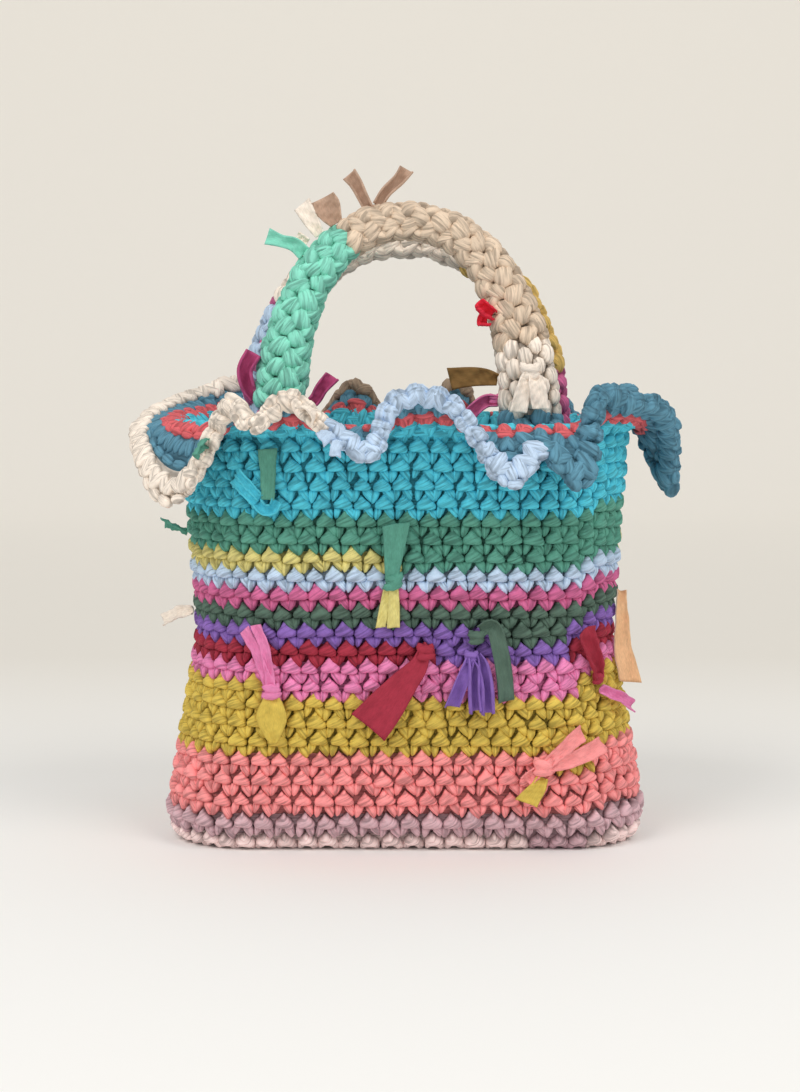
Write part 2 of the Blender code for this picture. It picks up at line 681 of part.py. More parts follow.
def strap_end(name, colour, line, side, share, way, stations):
    """Yarn end that leaves a handle through its side or its face."""
    crest = 2 * round((share * (len(line) - 1) - 1.0) / 2.0) + 1
    ring = strap_ring(line, crest, side, 0.0)
    centre = Vector(line[crest])
    edge = (ring[3] - centre) * way[0]
    face = ((ring[1] + ring[2]) / 2.0 - centre) * way[1]
    out = (edge + face).normalized()
    start = centre + out * (max((point - centre).dot(out) for point in ring) + 2.0 * GAP)
    leaves_side = abs(way[0]) > abs(way[1])
    forward = Vector((0.0, side, 0.0)) if leaves_side else Vector((1.0, 0.0, 0.0))
    centres = [start + out * far + Vector((x, 0.0, z)) for far, x, z, width, thick in stations]
    ribbon(name, colour, centres, [forward] * len(centres), [station[3:] for station in stations])


def ruffle_end(name, colour, step, stations):
    """Yarn end that carries on from the ruffle's edge and hangs from it."""
    edge = ruffle_point(step, 1.0)
    out = (edge - ruffle_point(step, 1.0 - RUFFLE_PROBE)).normalized()
    normal = ruffle_normal(step, 1.0)
    centres = [edge + out * (far + 5.0 * GAP) + Vector((0.0, 0.0, drop))
               for far, drop, width, thick in stations]
    ribbon(name, colour, centres, [normal] * len(centres), [station[2:] for station in stations])


def main():
    clear_scene()
    base_oval()
    for name, colour, cells in yarn_cells():
        yarn_round(name, colour, cells)
    ruffle()
    lines = {-1.0: strap_path(FRONT_HALF_SPAN, FRONT_TOP, FRONT_TOP_DEPTH, -1.0),
             1.0: strap_path(BACK_HALF_SPAN, BACK_TOP, BACK_TOP_DEPTH, 1.0)}
    handle(FRONT_HANDLE, lines[-1.0], -1.0)
    handle(BACK_HANDLE, lines[1.0], 1.0)
    for name, colour, stations in WALL_ENDS:
        wall_end(name, colour, stations)
    for name, colour, side, share, way, stations in STRAP_ENDS:
        strap_end(name, colour, lines[side], side, share, way, stations)
    for name, colour, step, stations in RUFFLE_ENDS:
        ruffle_end(name, colour, step, stations)


main()
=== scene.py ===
"""Crochet handbag: the looks of every yarn, stitch by stitch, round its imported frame."""
import math

import bpy
import numpy as np
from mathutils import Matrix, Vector


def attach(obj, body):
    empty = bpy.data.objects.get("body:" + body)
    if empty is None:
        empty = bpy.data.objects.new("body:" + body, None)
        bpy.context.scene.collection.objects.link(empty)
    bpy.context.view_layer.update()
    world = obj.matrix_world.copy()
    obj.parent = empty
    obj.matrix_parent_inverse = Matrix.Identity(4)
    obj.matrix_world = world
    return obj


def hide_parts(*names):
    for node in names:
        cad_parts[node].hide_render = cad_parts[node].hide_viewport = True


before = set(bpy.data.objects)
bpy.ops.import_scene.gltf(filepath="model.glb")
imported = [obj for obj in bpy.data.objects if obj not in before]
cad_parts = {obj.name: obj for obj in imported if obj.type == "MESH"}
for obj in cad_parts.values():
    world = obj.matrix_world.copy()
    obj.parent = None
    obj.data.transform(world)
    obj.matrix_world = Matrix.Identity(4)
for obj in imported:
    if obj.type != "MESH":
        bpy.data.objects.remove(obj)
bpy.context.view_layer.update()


# The photographer's view: a long lens a little under the handles' top, tipped down to the bag.
# Its frame is 800 by 1092 points, and its focal length is in the same points.
VIEW_SIZE = (800, 1092)
VIEW_FOCAL = 2437.2
VIEW_TIP, VIEW_TURN = 0.09805, 0.00234
VIEW_PLACE = (0.0004, -1.45, 0.3177)

lens = bpy.data.cameras.new("view")
lens.sensor_width = 36.0
lens.lens = lens.sensor_width * VIEW_FOCAL / VIEW_SIZE[1]
lens.clip_start, lens.clip_end = 0.05, 20.0
lens.dof.use_dof = False
view = bpy.data.objects.new("view", lens)
bpy.context.scene.collection.objects.link(view)
view.location = VIEW_PLACE
view.rotation_euler = (math.pi / 2 - VIEW_TIP, 0.0, VIEW_TURN)
bpy.context.scene.camera = view


# The base: a flat oval of pale pink T-shirt yarn, crocheted in rounds from its middle line out.
# Its edge is the foot of the wall, so the shape of the wall starts here.
STITCH, ROW = 0.0124, 0.011
STITCHES_ROUND, ROWS = 56, 22
PERIMETER, RIM = STITCH * STITCHES_ROUND, ROW * ROWS
WALL, GAP = 0.008, 0.0003
LOW_HALF_WIDTH, WAIST_HALF_WIDTH, RIM_HALF_WIDTH = 0.1445, 0.1225, 0.130
WAIST_HEIGHT = 0.125
LOW_END_RADIUS, RIM_END_RADIUS = 0.050, 0.072
FOOT_INSET, FOOT_ROUND = 0.0125, 0.022
BASE_LOW, BASE_HIGH = 0.0022, 0.0062
BASE_ROUNDS, BASE_PITCH, BASE_INSET = 4, 0.0112, 0.005
PALE_PINK = (0.95, 0.74, 0.72)

chance = np.random.default_rng(7)


def oval(along, height, inset=0.0):
    """Points and outward normals of the wall: a straight front and back with half rounds between.

    The turn is nothing on the front, half a turn on the back and grows evenly round each end. The
    point is its end's centre, or its place on the straight, plus the radius along the normal.
    """
    along, height, inset = np.broadcast_arrays(along, height, inset)
    half = np.interp(height, (0.0, WAIST_HEIGHT, RIM),
                     (LOW_HALF_WIDTH, WAIST_HALF_WIDTH, RIM_HALF_WIDTH))
    radius = LOW_END_RADIUS + (RIM_END_RADIUS - LOW_END_RADIUS) * height / RIM
    straight = half - radius
    arc = math.pi * radius
    around = 4 * straight + 2 * arc
    local = np.mod(along * around / PERIMETER + straight, around) - straight
    turn = (np.clip((local - straight) / radius, 0, math.pi)
            + np.clip((local - 3 * straight - arc) / radius, 0, math.pi))
    normal = np.stack((np.sin(turn), -np.cos(turn), np.zeros_like(turn)), axis=-1)
    middle = np.clip(local, -straight, straight) - np.clip(local - straight - arc, 0, 2 * straight)
    foot = FOOT_INSET * np.clip(1 - height / FOOT_ROUND, 0, 1) ** 2
    point = normal * (radius - inset - foot)[..., None]
    point[..., 0] += middle
    point[..., 2] += height
    return point, normal


def unit(vectors):
    """Each vector divided by its length."""
    return vectors / np.linalg.norm(vectors, axis=-1, keepdims=True)


def lobe(outline, profile, top, grain, double=False):
    """One lobe of yarn: an outline drawn again at each size and rise of the profile, to a pole.

    Gives its points as along, up and out, its rise from 0 to 1, the faces between the rings, and
    yarn coordinates across and along the strand, which runs at the grain's angle. The rise is a
    mask of painted shade: the material darkens the lobe towards its foot, where its neighbours
    shade it. A double lobe has its painted shade at its rim and is as light behind as in front.
    """
    outline = np.array(outline, float)
    centre = outline.mean(axis=0)
    rings = [np.column_stack((centre + (outline - centre) * size, np.full(len(outline), rise)))
             for size, rise in profile]
    points = np.vstack(rings + [np.append(centre, top)[None]])
    count, last = len(outline), len(profile) - 1
    faces = [tuple(reversed(range(count)))]
    for ring in range(last):
        for corner in range(count):
            after = (corner + 1) % count
            faces.append((ring * count + corner, ring * count + after,
                          (ring + 1) * count + after, (ring + 1) * count + corner))
    pole = len(points) - 1
    faces += [(last * count + corner, last * count + (corner + 1) % count, pole)
              for corner in range(count)]
    low = points[:, 2].min()
    # Painted shade mask: 0 at the lobe's foot up to 1 at its top; a double lobe gets 0.3 at its rim
    # and 1 on both faces.
    rise = 0.3 + 0.7 * np.abs(points[:, 2]) / top if double else (points[:, 2] - low) / (top - low)
    x, y = points[:, 0], points[:, 1]
    flat = np.column_stack((y * math.cos(grain) - x * math.sin(grain),
                            x * math.cos(grain) + y * math.sin(grain)))
    return points, rise, faces, flat


def oval_outline(wide, tall, corners, pointed=0.0):
    """An egg: x is the cosine and y the sine of an even turn, narrower upwards when pointed."""
    turns = np.linspace(0, 2 * math.pi, corners, endpoint=False) - math.pi / 2
    y = np.sin(turns)
    x = np.cos(turns) * (1 - pointed * y)
    return np.column_stack((x * wide / 2, y * tall / 2))


ROUND_PROFILE = ((0.62, -0.82), (0.94, -0.42), (1.0, 0.05), (0.90, 0.50), (0.58, 0.86))


def round_lobe(wide, tall, thick, corners=8, pointed=0.0, grain=math.pi / 2):
    """A lobe that is full on both sides, as where the yarn is seen from in front and behind."""
    profile = [(size, rise * thick / 2) for size, rise in ROUND_PROFILE]
    return lobe(oval_outline(wide, tall, corners, pointed), profile, thick / 2, grain, True)


def copies(shape, origin, right, up, out, turn=0.0, size=1.0, uneven=0.06, second=0.0):
    """Lays a lobe at every origin, along that place's right, up and out, turned in its own plane.

    Each copy varies a little in turn and size, and a share of them takes the second colour.
    """
    points, rise, faces, grain = shape
    count = len(origin)
    turn = np.broadcast_to(turn, count) + chance.normal(0, uneven, count)
    size = np.broadcast_to(size, count) * (1 + chance.normal(0, uneven, count))
    cosine, sine = np.cos(turn)[:, None], np.sin(turn)[:, None]
    x = (points[:, 0] * cosine - points[:, 1] * sine) * size[:, None]
    y = (points[:, 0] * sine + points[:, 1] * cosine) * size[:, None]
    z = points[:, 2] * size[:, None]
    placed = (origin[:, None] + x[..., None] * right[:, None] + y[..., None] * up[:, None]
              + z[..., None] * out[:, None])
    corners = np.concatenate([np.array(face) for face in faces])
    loops = (corners + len(points) * np.arange(count)[:, None]).ravel()
    totals = np.tile([len(face) for face in faces], count)
    flat = np.broadcast_to(grain, (count, len(points), 2)) + chance.uniform(0, 3, (count, 1, 2))
    shade = np.repeat(chance.uniform(0, 1, count), len(points))
    dyed = np.repeat((chance.uniform(0, 1, count) < second).astype(float), len(points))
    return dict(points=placed.reshape(-1, 3), loops=loops, totals=totals, flat=flat.reshape(-1, 2),
                rise=np.tile(rise, count), shade=shade, second=dyed)


def swept(rings, closed, low=0.0):
    """A surface whose rings of points follow each other; its ends join, or faces close them.

    Open ends are closed from one half of the ring to the other, point to facing point. All faces
    are turned round where the volume they hold comes out below nothing.
    """
    stations, around = rings.shape[:2]
    here = np.arange(stations if closed else stations - 1)[:, None] * around
    side = np.arange(around)[None]
    after = (here + around) % (stations * around)
    beside = (side + 1) % around
    faces = np.stack((here + side, here + beside, after + beside, after + side), axis=-1)
    faces = faces.reshape(-1, 4)
    if not closed:
        pair = np.arange(around // 2 - 1)
        end = np.stack((pair, pair + 1, around - 2 - pair, around - 1 - pair), axis=-1)
        faces = np.concatenate((faces, end[:, ::-1], end + (stations - 1) * around))
    points = rings.reshape(-1, 3)
    a, b, c, d = (points[faces[:, corner]] - points[0] for corner in range(4))
    volume = np.sum(np.cross(a, b) * c) + np.sum(np.cross(a, c) * d)
    faces = faces if volume > 0 else faces[:, ::-1]
    steps = np.linalg.norm(np.diff(rings, axis=0), axis=-1).mean(axis=1)
    length = np.concatenate(([0.0], np.cumsum(steps)))
    width = np.linalg.norm(np.diff(rings, axis=1), axis=-1).mean(axis=0)
    across = np.concatenate(([0.0], np.cumsum(width)))
    flat = np.stack(np.broadcast_arrays(across[None], length[:, None]), axis=-1)
    count = stations * around
    # Painted shade: every point takes the rise low, so the material darkens the whole sheet to
    # match.
    return dict(points=points, loops=faces.ravel(), totals=np.full(len(faces), 4),
                flat=flat.reshape(-1, 2) + chance.uniform(0, 3, 2), rise=np.full(count, low),
                shade=np.full(count, 0.5), second=np.zeros(count))


PRESSED = 0.0002


def yarn_piece(name, parts, material, slot, *nodes):
    """One mesh from its parts, smooth shaded, which stands for its CAD nodes and rides with them.

    Yarn that rests on the floor is pressed flat there.
    """
    sizes = np.cumsum([0] + [len(part["points"]) for part in parts])
    points = np.concatenate([part["points"] for part in parts])
    points[:, 2] = np.maximum(points[:, 2], PRESSED)
    loops = np.concatenate([part["loops"] + start for part, start in zip(parts, sizes)])
    totals = np.concatenate([part["totals"] for part in parts])
    mesh = bpy.data.meshes.new(name)
    mesh.vertices.add(len(points))
    mesh.vertices.foreach_set("co", points.astype(np.float32).ravel())
    mesh.loops.add(len(loops))
    mesh.loops.foreach_set("vertex_index", loops.astype(np.int32))
    mesh.polygons.add(len(totals))
    starts = np.concatenate(([0], np.cumsum(totals)[:-1]))
    mesh.polygons.foreach_set("loop_start", starts.astype(np.int32))
    mesh.polygons.foreach_set("loop_total", totals.astype(np.int32))
    mesh.update(calc_edges=True)
    mesh.polygons.foreach_set("use_smooth", np.ones(len(totals), bool))
    flat = np.concatenate([part["flat"] for part in parts])[loops]
    mesh.uv_layers.new(name="yarn").data.foreach_set("uv", flat.astype(np.float32).ravel())
    for key in ("rise", "shade", "second"):
        values = np.concatenate([part[key] for part in parts])
        data = mesh.attributes.new(key, "FLOAT", "POINT").data
        data.foreach_set("value", values.astype(np.float32))
    mesh.materials.append(material)
    piece = bpy.data.objects.new(name, mesh)
    bpy.context.scene.collection.objects.link(piece)
    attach(piece, "root")
    if nodes:
        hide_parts(*nodes)
    return piece


def yarn_material(name, colour, second=None, cut=False):
    """Cotton jersey yarn: creases along the strand, a soft bloom, and painted shade deep in the
    stitch.

    The creases are noise drawn out along the yarn coordinates, and the colour darkens where their
    bump dents the yarn, a painted shade in the creases. Each lobe has its own random tone. A cut
    strip lies flat and smooth, so its creases are faint and its knit shows.
    """
    material = bpy.data.materials.new(name)
    material.use_nodes = True
    tree = material.node_tree
    shader = tree.nodes["Principled BSDF"]
    shader.inputs["Roughness"].default_value = 0.82
    shader.inputs["Specular IOR Level"].default_value = 0.22
    shader.inputs["Sheen Weight"].default_value = 0.18
    shader.inputs["Sheen Roughness"].default_value = 0.5
    shader.inputs["Sheen Tint"].default_value = (*colour, 1.0)

    def node(kind, **settings):
        made = tree.nodes.new(kind)
        for key, value in settings.items():
            setattr(made, key, value)
        return made

    def link(source, target):
        tree.links.new(source, target)

    def spread(source, low, high, start=0.0, end=1.0):
        made = node("ShaderNodeMapRange")
        link(source, made.inputs["Value"])
        made.inputs["From Min"].default_value, made.inputs["From Max"].default_value = start, end
        made.inputs["To Min"].default_value, made.inputs["To Max"].default_value = low, high
        return made.outputs["Result"]

    def times(first, other):
        made = node("ShaderNodeMath", operation="MULTIPLY")
        link(first, made.inputs[0])
        link(other, made.inputs[1])
        return made.outputs["Value"]

    def creased(across, along, detail):
        stretch = node("ShaderNodeMapping")
        link(place.outputs["UV"], stretch.inputs["Vector"])
        stretch.inputs["Scale"].default_value = (across, along, 1.0)
        made = node("ShaderNodeTexNoise")
        link(stretch.outputs["Vector"], made.inputs["Vector"])
        made.inputs["Scale"].default_value = 1.0
        made.inputs["Detail"].default_value = detail
        return made.outputs["Fac"]

    place = node("ShaderNodeUVMap", uv_map="yarn")
    folds = creased(620.0, 60.0, 2.0)
    fibres = creased(2600.0, 420.0, 2.0)
    solid = node("ShaderNodeTexCoord")
    patches = node("ShaderNodeTexNoise")
    link(solid.outputs["Object"], patches.inputs["Vector"])
    patches.inputs["Scale"].default_value = 150.0
    patches.inputs["Detail"].default_value = 2.0
    rise = node("ShaderNodeAttribute", attribute_name="rise")
    shade = node("ShaderNodeAttribute", attribute_name="shade")
    # Painted shade and light: the rise takes the colour down to a third at a lobe's foot and on the
    # low sheets, and a little over full at the tops.
    value = times(spread(rise.outputs["Fac"], 0.34, 1.05, 0.02, 0.60),
                  spread(shade.outputs["Fac"], 0.93, 1.07))
    # Painted shade in the creases: the colour follows the crease and fibre noise that also dents
    # the bump, darker in the dents.
    low, high = (0.95, 1.04) if cut else (0.62, 1.13)
    value = times(value, spread(folds, low, high, 0.36, 0.56))
    low, high = (0.88, 1.10) if cut else (0.94, 1.06)
    value = times(value, spread(fibres, low, high, 0.3, 0.7))
    value = times(value, spread(patches.outputs["Fac"], 0.93, 1.07, 0.3, 0.7))
    tone = node("ShaderNodeHueSaturation")
    tone.inputs["Color"].default_value = (*colour, 1.0)
    if second:
        pick = node("ShaderNodeAttribute", attribute_name="second")
        blend = node("ShaderNodeMix", data_type="RGBA")
        link(pick.outputs["Fac"], blend.inputs["Factor"])
        blend.inputs["A"].default_value = (*colour, 1.0)
        blend.inputs["B"].default_value = (*second, 1.0)
        link(blend.outputs["Result"], tone.inputs["Color"])
    link(value, tone.inputs["Value"])
    link(tone.outputs["Color"], shader.inputs["Base Color"])
    coarse = node("ShaderNodeBump")
    coarse.inputs["Strength"].default_value = 0.8
    coarse.inputs["Distance"].default_value = 0.0003 if cut else 0.0014
    link(folds, coarse.inputs["Height"])
    fine = node("ShaderNodeBump")
    fine.inputs["Strength"].default_value = 0.35
    fine.inputs["Distance"].default_value = 0.00012
    link(fibres, fine.inputs["Height"])
    link(coarse.outputs["Normal"], fine.inputs["Normal"])
    link(fine.outputs["Normal"], shader.inputs["Normal"])
    return material


yarns, DYES = {}, {}


def jersey(yarn, colour=None):
    """The material of a yarn, made when it is first used; its loose ends take the same dye."""
    if yarn not in yarns:
        DYES[yarn] = colour
        yarns[yarn] = yarn_material(yarn + "_jersey", colour)
    return yarns[yarn]


# Each stitch shows a cap with a peak that rises to the left of its middle, and two legs under it.
# Places are in stitches along and rows up from the middle of the cap's flat lower edge.
CAP_OUTLINE = (
    (-0.40, -0.02), (-0.05, -0.05), (0.30, -0.03), (0.44, 0.04), (0.46, 0.20), (0.36, 0.38),
    (0.20, 0.54), (0.06, 0.68), (-0.06, 0.84), (-0.15, 0.68), (-0.25, 0.52), (-0.40, 0.36),
    (-0.46, 0.16))
LEFT_LEG_OUTLINE = (
    (-0.40, -0.64), (-0.27, -0.56), (-0.12, -0.30), (-0.06, -0.04), (-0.22, 0.06), (-0.44, 0.02),
    (-0.49, -0.24), (-0.47, -0.48))
RIGHT_LEG_OUTLINE = (
    (0.42, -0.70), (0.53, -0.52), (0.54, -0.22), (0.46, 0.02), (0.18, 0.06), (-0.01, -0.02),
    (0.03, -0.24), (0.22, -0.50))
CAP_PROFILE = ((0.96, -0.0034), (1.0, -0.0010), (0.90, 0.0014), (0.58, 0.0030))
LEG_PROFILE = ((0.96, -0.0036), (1.0, -0.0016), (0.84, 0.0006))
CAP_TOP, LEG_TOP = 0.0034, 0.0021
CAP_GRAIN, LEFT_GRAIN, RIGHT_GRAIN = 0.45, 1.45, 2.20
INNER_DEPTH, INNER_SHORTER = 0.03, 0.20

scale = np.array((STITCH, ROW))
cap = lobe(np.array(CAP_OUTLINE) * scale, CAP_PROFILE, CAP_TOP, CAP_GRAIN)
legs = [lobe(np.array(outline) * scale, LEG_PROFILE, LEG_TOP, grain)
        for outline, grain in ((LEFT_LEG_OUTLINE, LEFT_GRAIN), (RIGHT_LEG_OUTLINE, RIGHT_GRAIN))]

base_parts = []
for height, facing in ((BASE_LOW, -1.0), (BASE_HIGH, 1.0)):
    for depth in WALL + GAP + BASE_PITCH * np.arange(BASE_ROUNDS):
        length = PERIMETER - 2 * math.pi * depth - INNER_SHORTER * (depth > INNER_DEPTH)
        count = max(8, int(length / STITCH))
        along = (np.arange(count) + 0.5) * PERIMETER / count
        point, normal = oval(along, 0.0, depth + BASE_INSET)
        point[:, 2] = height
        up = -normal * facing
        out = np.zeros_like(normal)
        out[:, 2] = facing
        base_parts.append(copies(cap, point, np.cross(up, out), up, out))
# The sheet between the base's rounds keeps rise 0, so it is painted in full shade, at a third of
# the yarn's colour.
ring_along = np.linspace(0, PERIMETER, 4 * STITCHES_ROUND, endpoint=False)
point, normal = oval(ring_along, 0.0, WALL + GAP)
ring = [point * (1, 1, 0) + (0, 0, level) - normal * deep
        for level, deep in ((BASE_LOW, 0.002), (BASE_LOW, 0.036),
                            (BASE_HIGH, 0.036), (BASE_HIGH, 0.002))]
base_parts.append(swept(np.stack(ring, axis=1), True))
yarn_piece("base_oval_stitches", base_parts, jersey("pale_pink", PALE_PINK), "pale_pink_yarn",
           "base_oval")


# The body: one spiral of single crochet in thirteen yarns, each tied to the one before it.
# Rounds start at a seam on the right of the front and climb there, which puts the stripes out.
SEAM = 0.110
COLUMNS = 36
COLUMN = PERIMETER / COLUMNS
LEAN_ROUND = 0.13
CAP_HEIGHT = 0.42
CLIMB, CLIMB_LENGTH, CLIMB_START = 0.70, 0.30, 0.018
LEVEL_LOW, LEVEL_HIGH = 0.03, 0.045
LIME_LATE = 0.055
UNEVEN_ALONG, UNEVEN_UP, UNEVEN_OUT = 0.0004, 0.00035, 0.0003
SKIN, LINING = -0.0027, -0.0072
PURL = 0.0015

BODY_YARNS = (
    ("round_pale_pink", "pale_pink", PALE_PINK, 0, 0.078),
    ("rounds_lilac", "lilac", (0.62, 0.41, 0.45), 1, SEAM),
    ("rounds_coral_pink", "coral", (0.90, 0.31, 0.31), 4, 0.084),
    ("rounds_mustard", "mustard", (0.64, 0.47, 0.09), 8, -0.082),
    ("rounds_pink", "pink", (0.76, 0.23, 0.45), 9, SEAM),
    ("round_burgundy", "burgundy", (0.36, 0.032, 0.058), 10, 0.014),
    ("round_purple", "purple", (0.24, 0.13, 0.44), 11, 0.043),
    ("rounds_dark_green", "dark_green", (0.09, 0.15, 0.115), 12, SEAM),
    ("round_magenta", "magenta", (0.60, 0.14, 0.30), 13, SEAM),
    ("round_pale_blue", "pale_blue", (0.50, 0.63, 0.80), 14, SEAM),
    ("round_lime", "lime", (0.68, 0.60, 0.22), 15, -0.009),
    ("rounds_green", "green", (0.10, 0.31, 0.235), 17, SEAM),
    ("rounds_turquoise", "turquoise", (0.09, 0.56, 0.70), 21, SEAM),
)

# Heights over the floor, and how much higher or lower the rows there lie than even rounds would.
SETTLED = (
    (0.0, 0.0046, 0.0156, 0.0266, 0.0376, 0.0486, 0.0596, 0.0816, 0.1036, 0.1256, 0.1476, 0.1696,
     0.1806, 0.1916, 0.2026, 0.2356),
    (0.0, -0.0012, -0.0005, 0.0020, 0.0034, 0.0040, 0.0046, 0.0044, 0.0036, 0.0031, 0.0026, 0.0025,
     0.0020, 0.0013, 0.0002, 0.0))


def climbed(beyond, height):
    """Height of a row as the rounds settle, with the climb past the seam.

    The climb is a quick rise, then a slow fall to the back. It fades out at the floor and at the
    rim, where the rows lie level.
    """
    rise = np.clip(beyond / CLIMB_START, 0, 1) * (1 - np.clip(beyond / CLIMB_LENGTH, 0, 1)) ** 1.5
    fade = np.clip(height / LEVEL_LOW, 0, 1) * np.clip((RIM - height) / LEVEL_HIGH, 0, 1)
    return height + np.interp(height, *SETTLED) + CLIMB * ROW * rise * fade


def wall_frame(beyond, height, lift):
    """Place on the wall a length beyond the seam, with its right, up and out."""
    height = climbed(beyond, height)
    point, out = oval(SEAM + beyond, height, -lift)
    above, _ = oval(SEAM + beyond, height + 0.001, -lift)
    up = unit(above - point)
    right = unit(np.cross(up, out))
    return point, right, up, unit(np.cross(right, up))


start = (0, 0.0)
for node, yarn, colour, last_row, end_along in BODY_YARNS:
    end = (last_row, PERIMETER - round((SEAM - end_along) / COLUMN) * COLUMN)
    material = jersey(yarn, colour)
    parts = []
    spans = [(row, start[1] if row == start[0] else 0.0, end[1] if row == end[0] else PERIMETER)
             for row in range(start[0], last_row + 1)]
    # The lime yarn starts a little past the seam, and the green one fills its round up to there.
    if yarn == "lime":
        spans = [(row, LIME_LATE, last) for row, first, last in spans]
    if yarn == "green":
        spans.append((start[0], 0.0, LIME_LATE))
    for row, first, last in spans:
        beyond = np.mod((np.arange(STITCHES_ROUND) + 0.5 - LEAN_ROUND * row) * STITCH, PERIMETER)
        beyond = beyond[(beyond >= first) & (beyond < last)]
        if not len(beyond):
            continue
        beyond = beyond + chance.normal(0, UNEVEN_ALONG, len(beyond))
        height = (row + CAP_HEIGHT) * ROW + chance.normal(0, UNEVEN_UP, len(beyond))
        lift = chance.normal(0.0, UNEVEN_OUT, len(beyond))
        for shape in (cap, *legs):
            parts.append(copies(shape, *wall_frame(beyond, height, lift)))
        run = np.linspace(first, last, max(4, int((last - first) / STITCH * 4)))
        wave = PURL * np.cos(2 * math.pi * run / STITCH + row)
        rings = [oval(SEAM + run, climbed(run, (row + level) * ROW), -inward)[0]
                 for level, inward in ((0.0, SKIN), (0.0, LINING), (0.3, LINING),
                                       (0.55, LINING - PURL - wave / 2),
                                       (0.8, LINING - PURL - wave / 2), (1.0, LINING),
                                       (1.0, SKIN), (0.5, SKIN))]
        # The sheet behind the row's stitches takes rise 0.24: painted shade, as it lies deep under
        # them.
        parts.append(swept(np.stack(rings, axis=1), False, low=0.24))
    start = end if end[1] < PERIMETER else (last_row + 1, 0.0)
    yarn_piece(node + "_stitches", parts, material, yarn + "_yarn", node)


# The ruffle: rounds of turquoise, coral red and slate worked wide out of the rim, so they fold.
# Its folds are a closed smooth curve through their root, lean, reach and height over the rim, in
# millimetres.
FOLDS = np.array((
    (-158, 0, 34, -5), (-114, -2, 36, -35), (-94, 0, 24, 20), (-79, 0, 33, 9), (-65, 0, 23, 25),
    (-45, 0, 34, 9), (-19, -1, 39, -7), (-1, -6, 22, 23), (24, 0, 24, 24), (53, 4, 41, -22),
    (72, 0, 32, -6), (88, 2, 36, -23), (105, -2, 23, 26), (124, 0, 25, 22), (145, 0, 31, 17),
    (165, 0, 34, -5), (185, 0, 34, -34), (212, 0, 23, 25), (239, 0, 42, -18), (264, 0, 23, 26),
    (290, 0, 43, -22), (315, 0, 23, 27), (347, 0, 42, -18), (380, 0, 23, 26), (412, 0, 43, -18),
    (440, 0, 23, 26), (464, 0, 26, 22), (496, 0, 29, 12))) / 1000
RUFFLE_STEM, RUFFLE_BEND = 0.013, 0.35
RUFFLE_CORE, RUFFLE_PITCH = 0.0018, 0.0112
EDGE_CORE, LOOP_SHARE, LOOP_OFF, CREST_SHARE = (0.84, 0.96), 0.925, 0.0023, 0.995
ROW_SHARE, POST_SHARE, BAR_SHARE = 0.22, -0.03, 0.09
RUFFLE_ROUNDS = (
    ("ruffle_turquoise", "turquoise", None, 0.0, 0.36, 0, 28),
    ("ruffle_coral_red", "coral_red", (0.68, 0.13, 0.145), 0.36, 0.58, 0, 28),
    ("ruffle_slate", "slate", (0.11, 0.27, 0.37), 0.58, 0.84, 0, 28),
)
RUFFLE_EDGES = (
    ("ruffle_edge_cream", "cream", (0.88, 0.78, 0.68), -4, 5),
    ("ruffle_edge_pale_blue", "pale_blue", None, 5, 10),
    ("ruffle_edge_slate", "slate", None, 10, 20),
    ("ruffle_edge_taupe", "taupe", (0.38, 0.28, 0.20), 20, 24),
)


def ruffle_points(step, share):
    """Ruffle surface at a fold number and a share of its way out.

    The fold's values follow a Catmull-Rom curve. Each rib is a quadratic curve of its foot in the
    rim, a bend above it and the edge, and a drooping fold bends higher.
    """
    step, share = np.broadcast_arrays(step, share)
    index = np.floor(step).astype(int)
    part = (step - index)[..., None]
    near = []
    for shift in (-1, 0, 1, 2):
        turns, fold = np.divmod(index + shift, len(FOLDS))
        values = FOLDS[fold].copy()
        values[..., 0] += turns * PERIMETER
        near.append(values)
    a, b, c, d = near
    values = 0.5 * (2 * b + (c - a) * part + (2 * a - 5 * b + 4 * c - d) * part ** 2
                    + (3 * b - a - 3 * c + d) * part ** 3)
    root, lean, reach, lift = np.moveaxis(values, -1, 0)
    foot = oval(root, RIM, WALL / 2)[0]
    droop = 0.5 * (np.hypot(lift, RUFFLE_STEM) - lift)
    bend = oval(root, RIM, WALL / 2 - RUFFLE_BEND * reach)[0]
    bend[..., 2] += RUFFLE_STEM + RUFFLE_BEND * droop
    edge = oval(root + lean, RIM, WALL / 2 - reach)[0]
    edge[..., 2] += lift
    t = share[..., None]
    return foot * (1 - t) ** 2 + bend * (2 * t * (1 - t)) + edge * t ** 2


def ruffle_frame(step, share):
    """Place on the ruffle, with its ways along the folds, out to the edge, and off its face."""
    small = 0.02
    along = unit(ruffle_points(step + small, share) - ruffle_points(step - small, share))
    across = ruffle_points(step, share + small) - ruffle_points(step, share - small)
    across = unit(across - along * np.sum(across * along, axis=-1, keepdims=True))
    return ruffle_points(step, share), along, across, np.cross(along, across)


def ruffle_steps(first, last, share, pitch):
    """Fold numbers that are the same length apart along one line of the ruffle."""
    fine = np.linspace(first, last, int((last - first) * 40) + 1)
    line = ruffle_points(fine, share)
    length = np.concatenate(([0], np.cumsum(np.linalg.norm(np.diff(line, axis=0), axis=1))))
    count = max(3, round(length[-1] / pitch))
    return np.interp((np.arange(count) + 0.5) / count * length[-1], length, fine)


def ruffle_core(first, last, inner, outer):
    """Thin sheet in the middle of a round, under its stitches: four points at every fold step."""
    closed = last - first == len(FOLDS)
    fine = np.linspace(first, last, int((last - first) * 12) + 1)
    fine = fine[:-1] if closed else fine
    rings = []
    for share, side in ((inner, 1), (outer, 1), (outer, -1), (inner, -1)):
        point, _, _, out = ruffle_frame(fine, share)
        rings.append(point + out * side * RUFFLE_CORE / 2)
    # Rise 0.3: the core sheet is painted with shade, as it lies under the stitches.
    return swept(np.stack(rings, axis=1), closed, low=0.3)


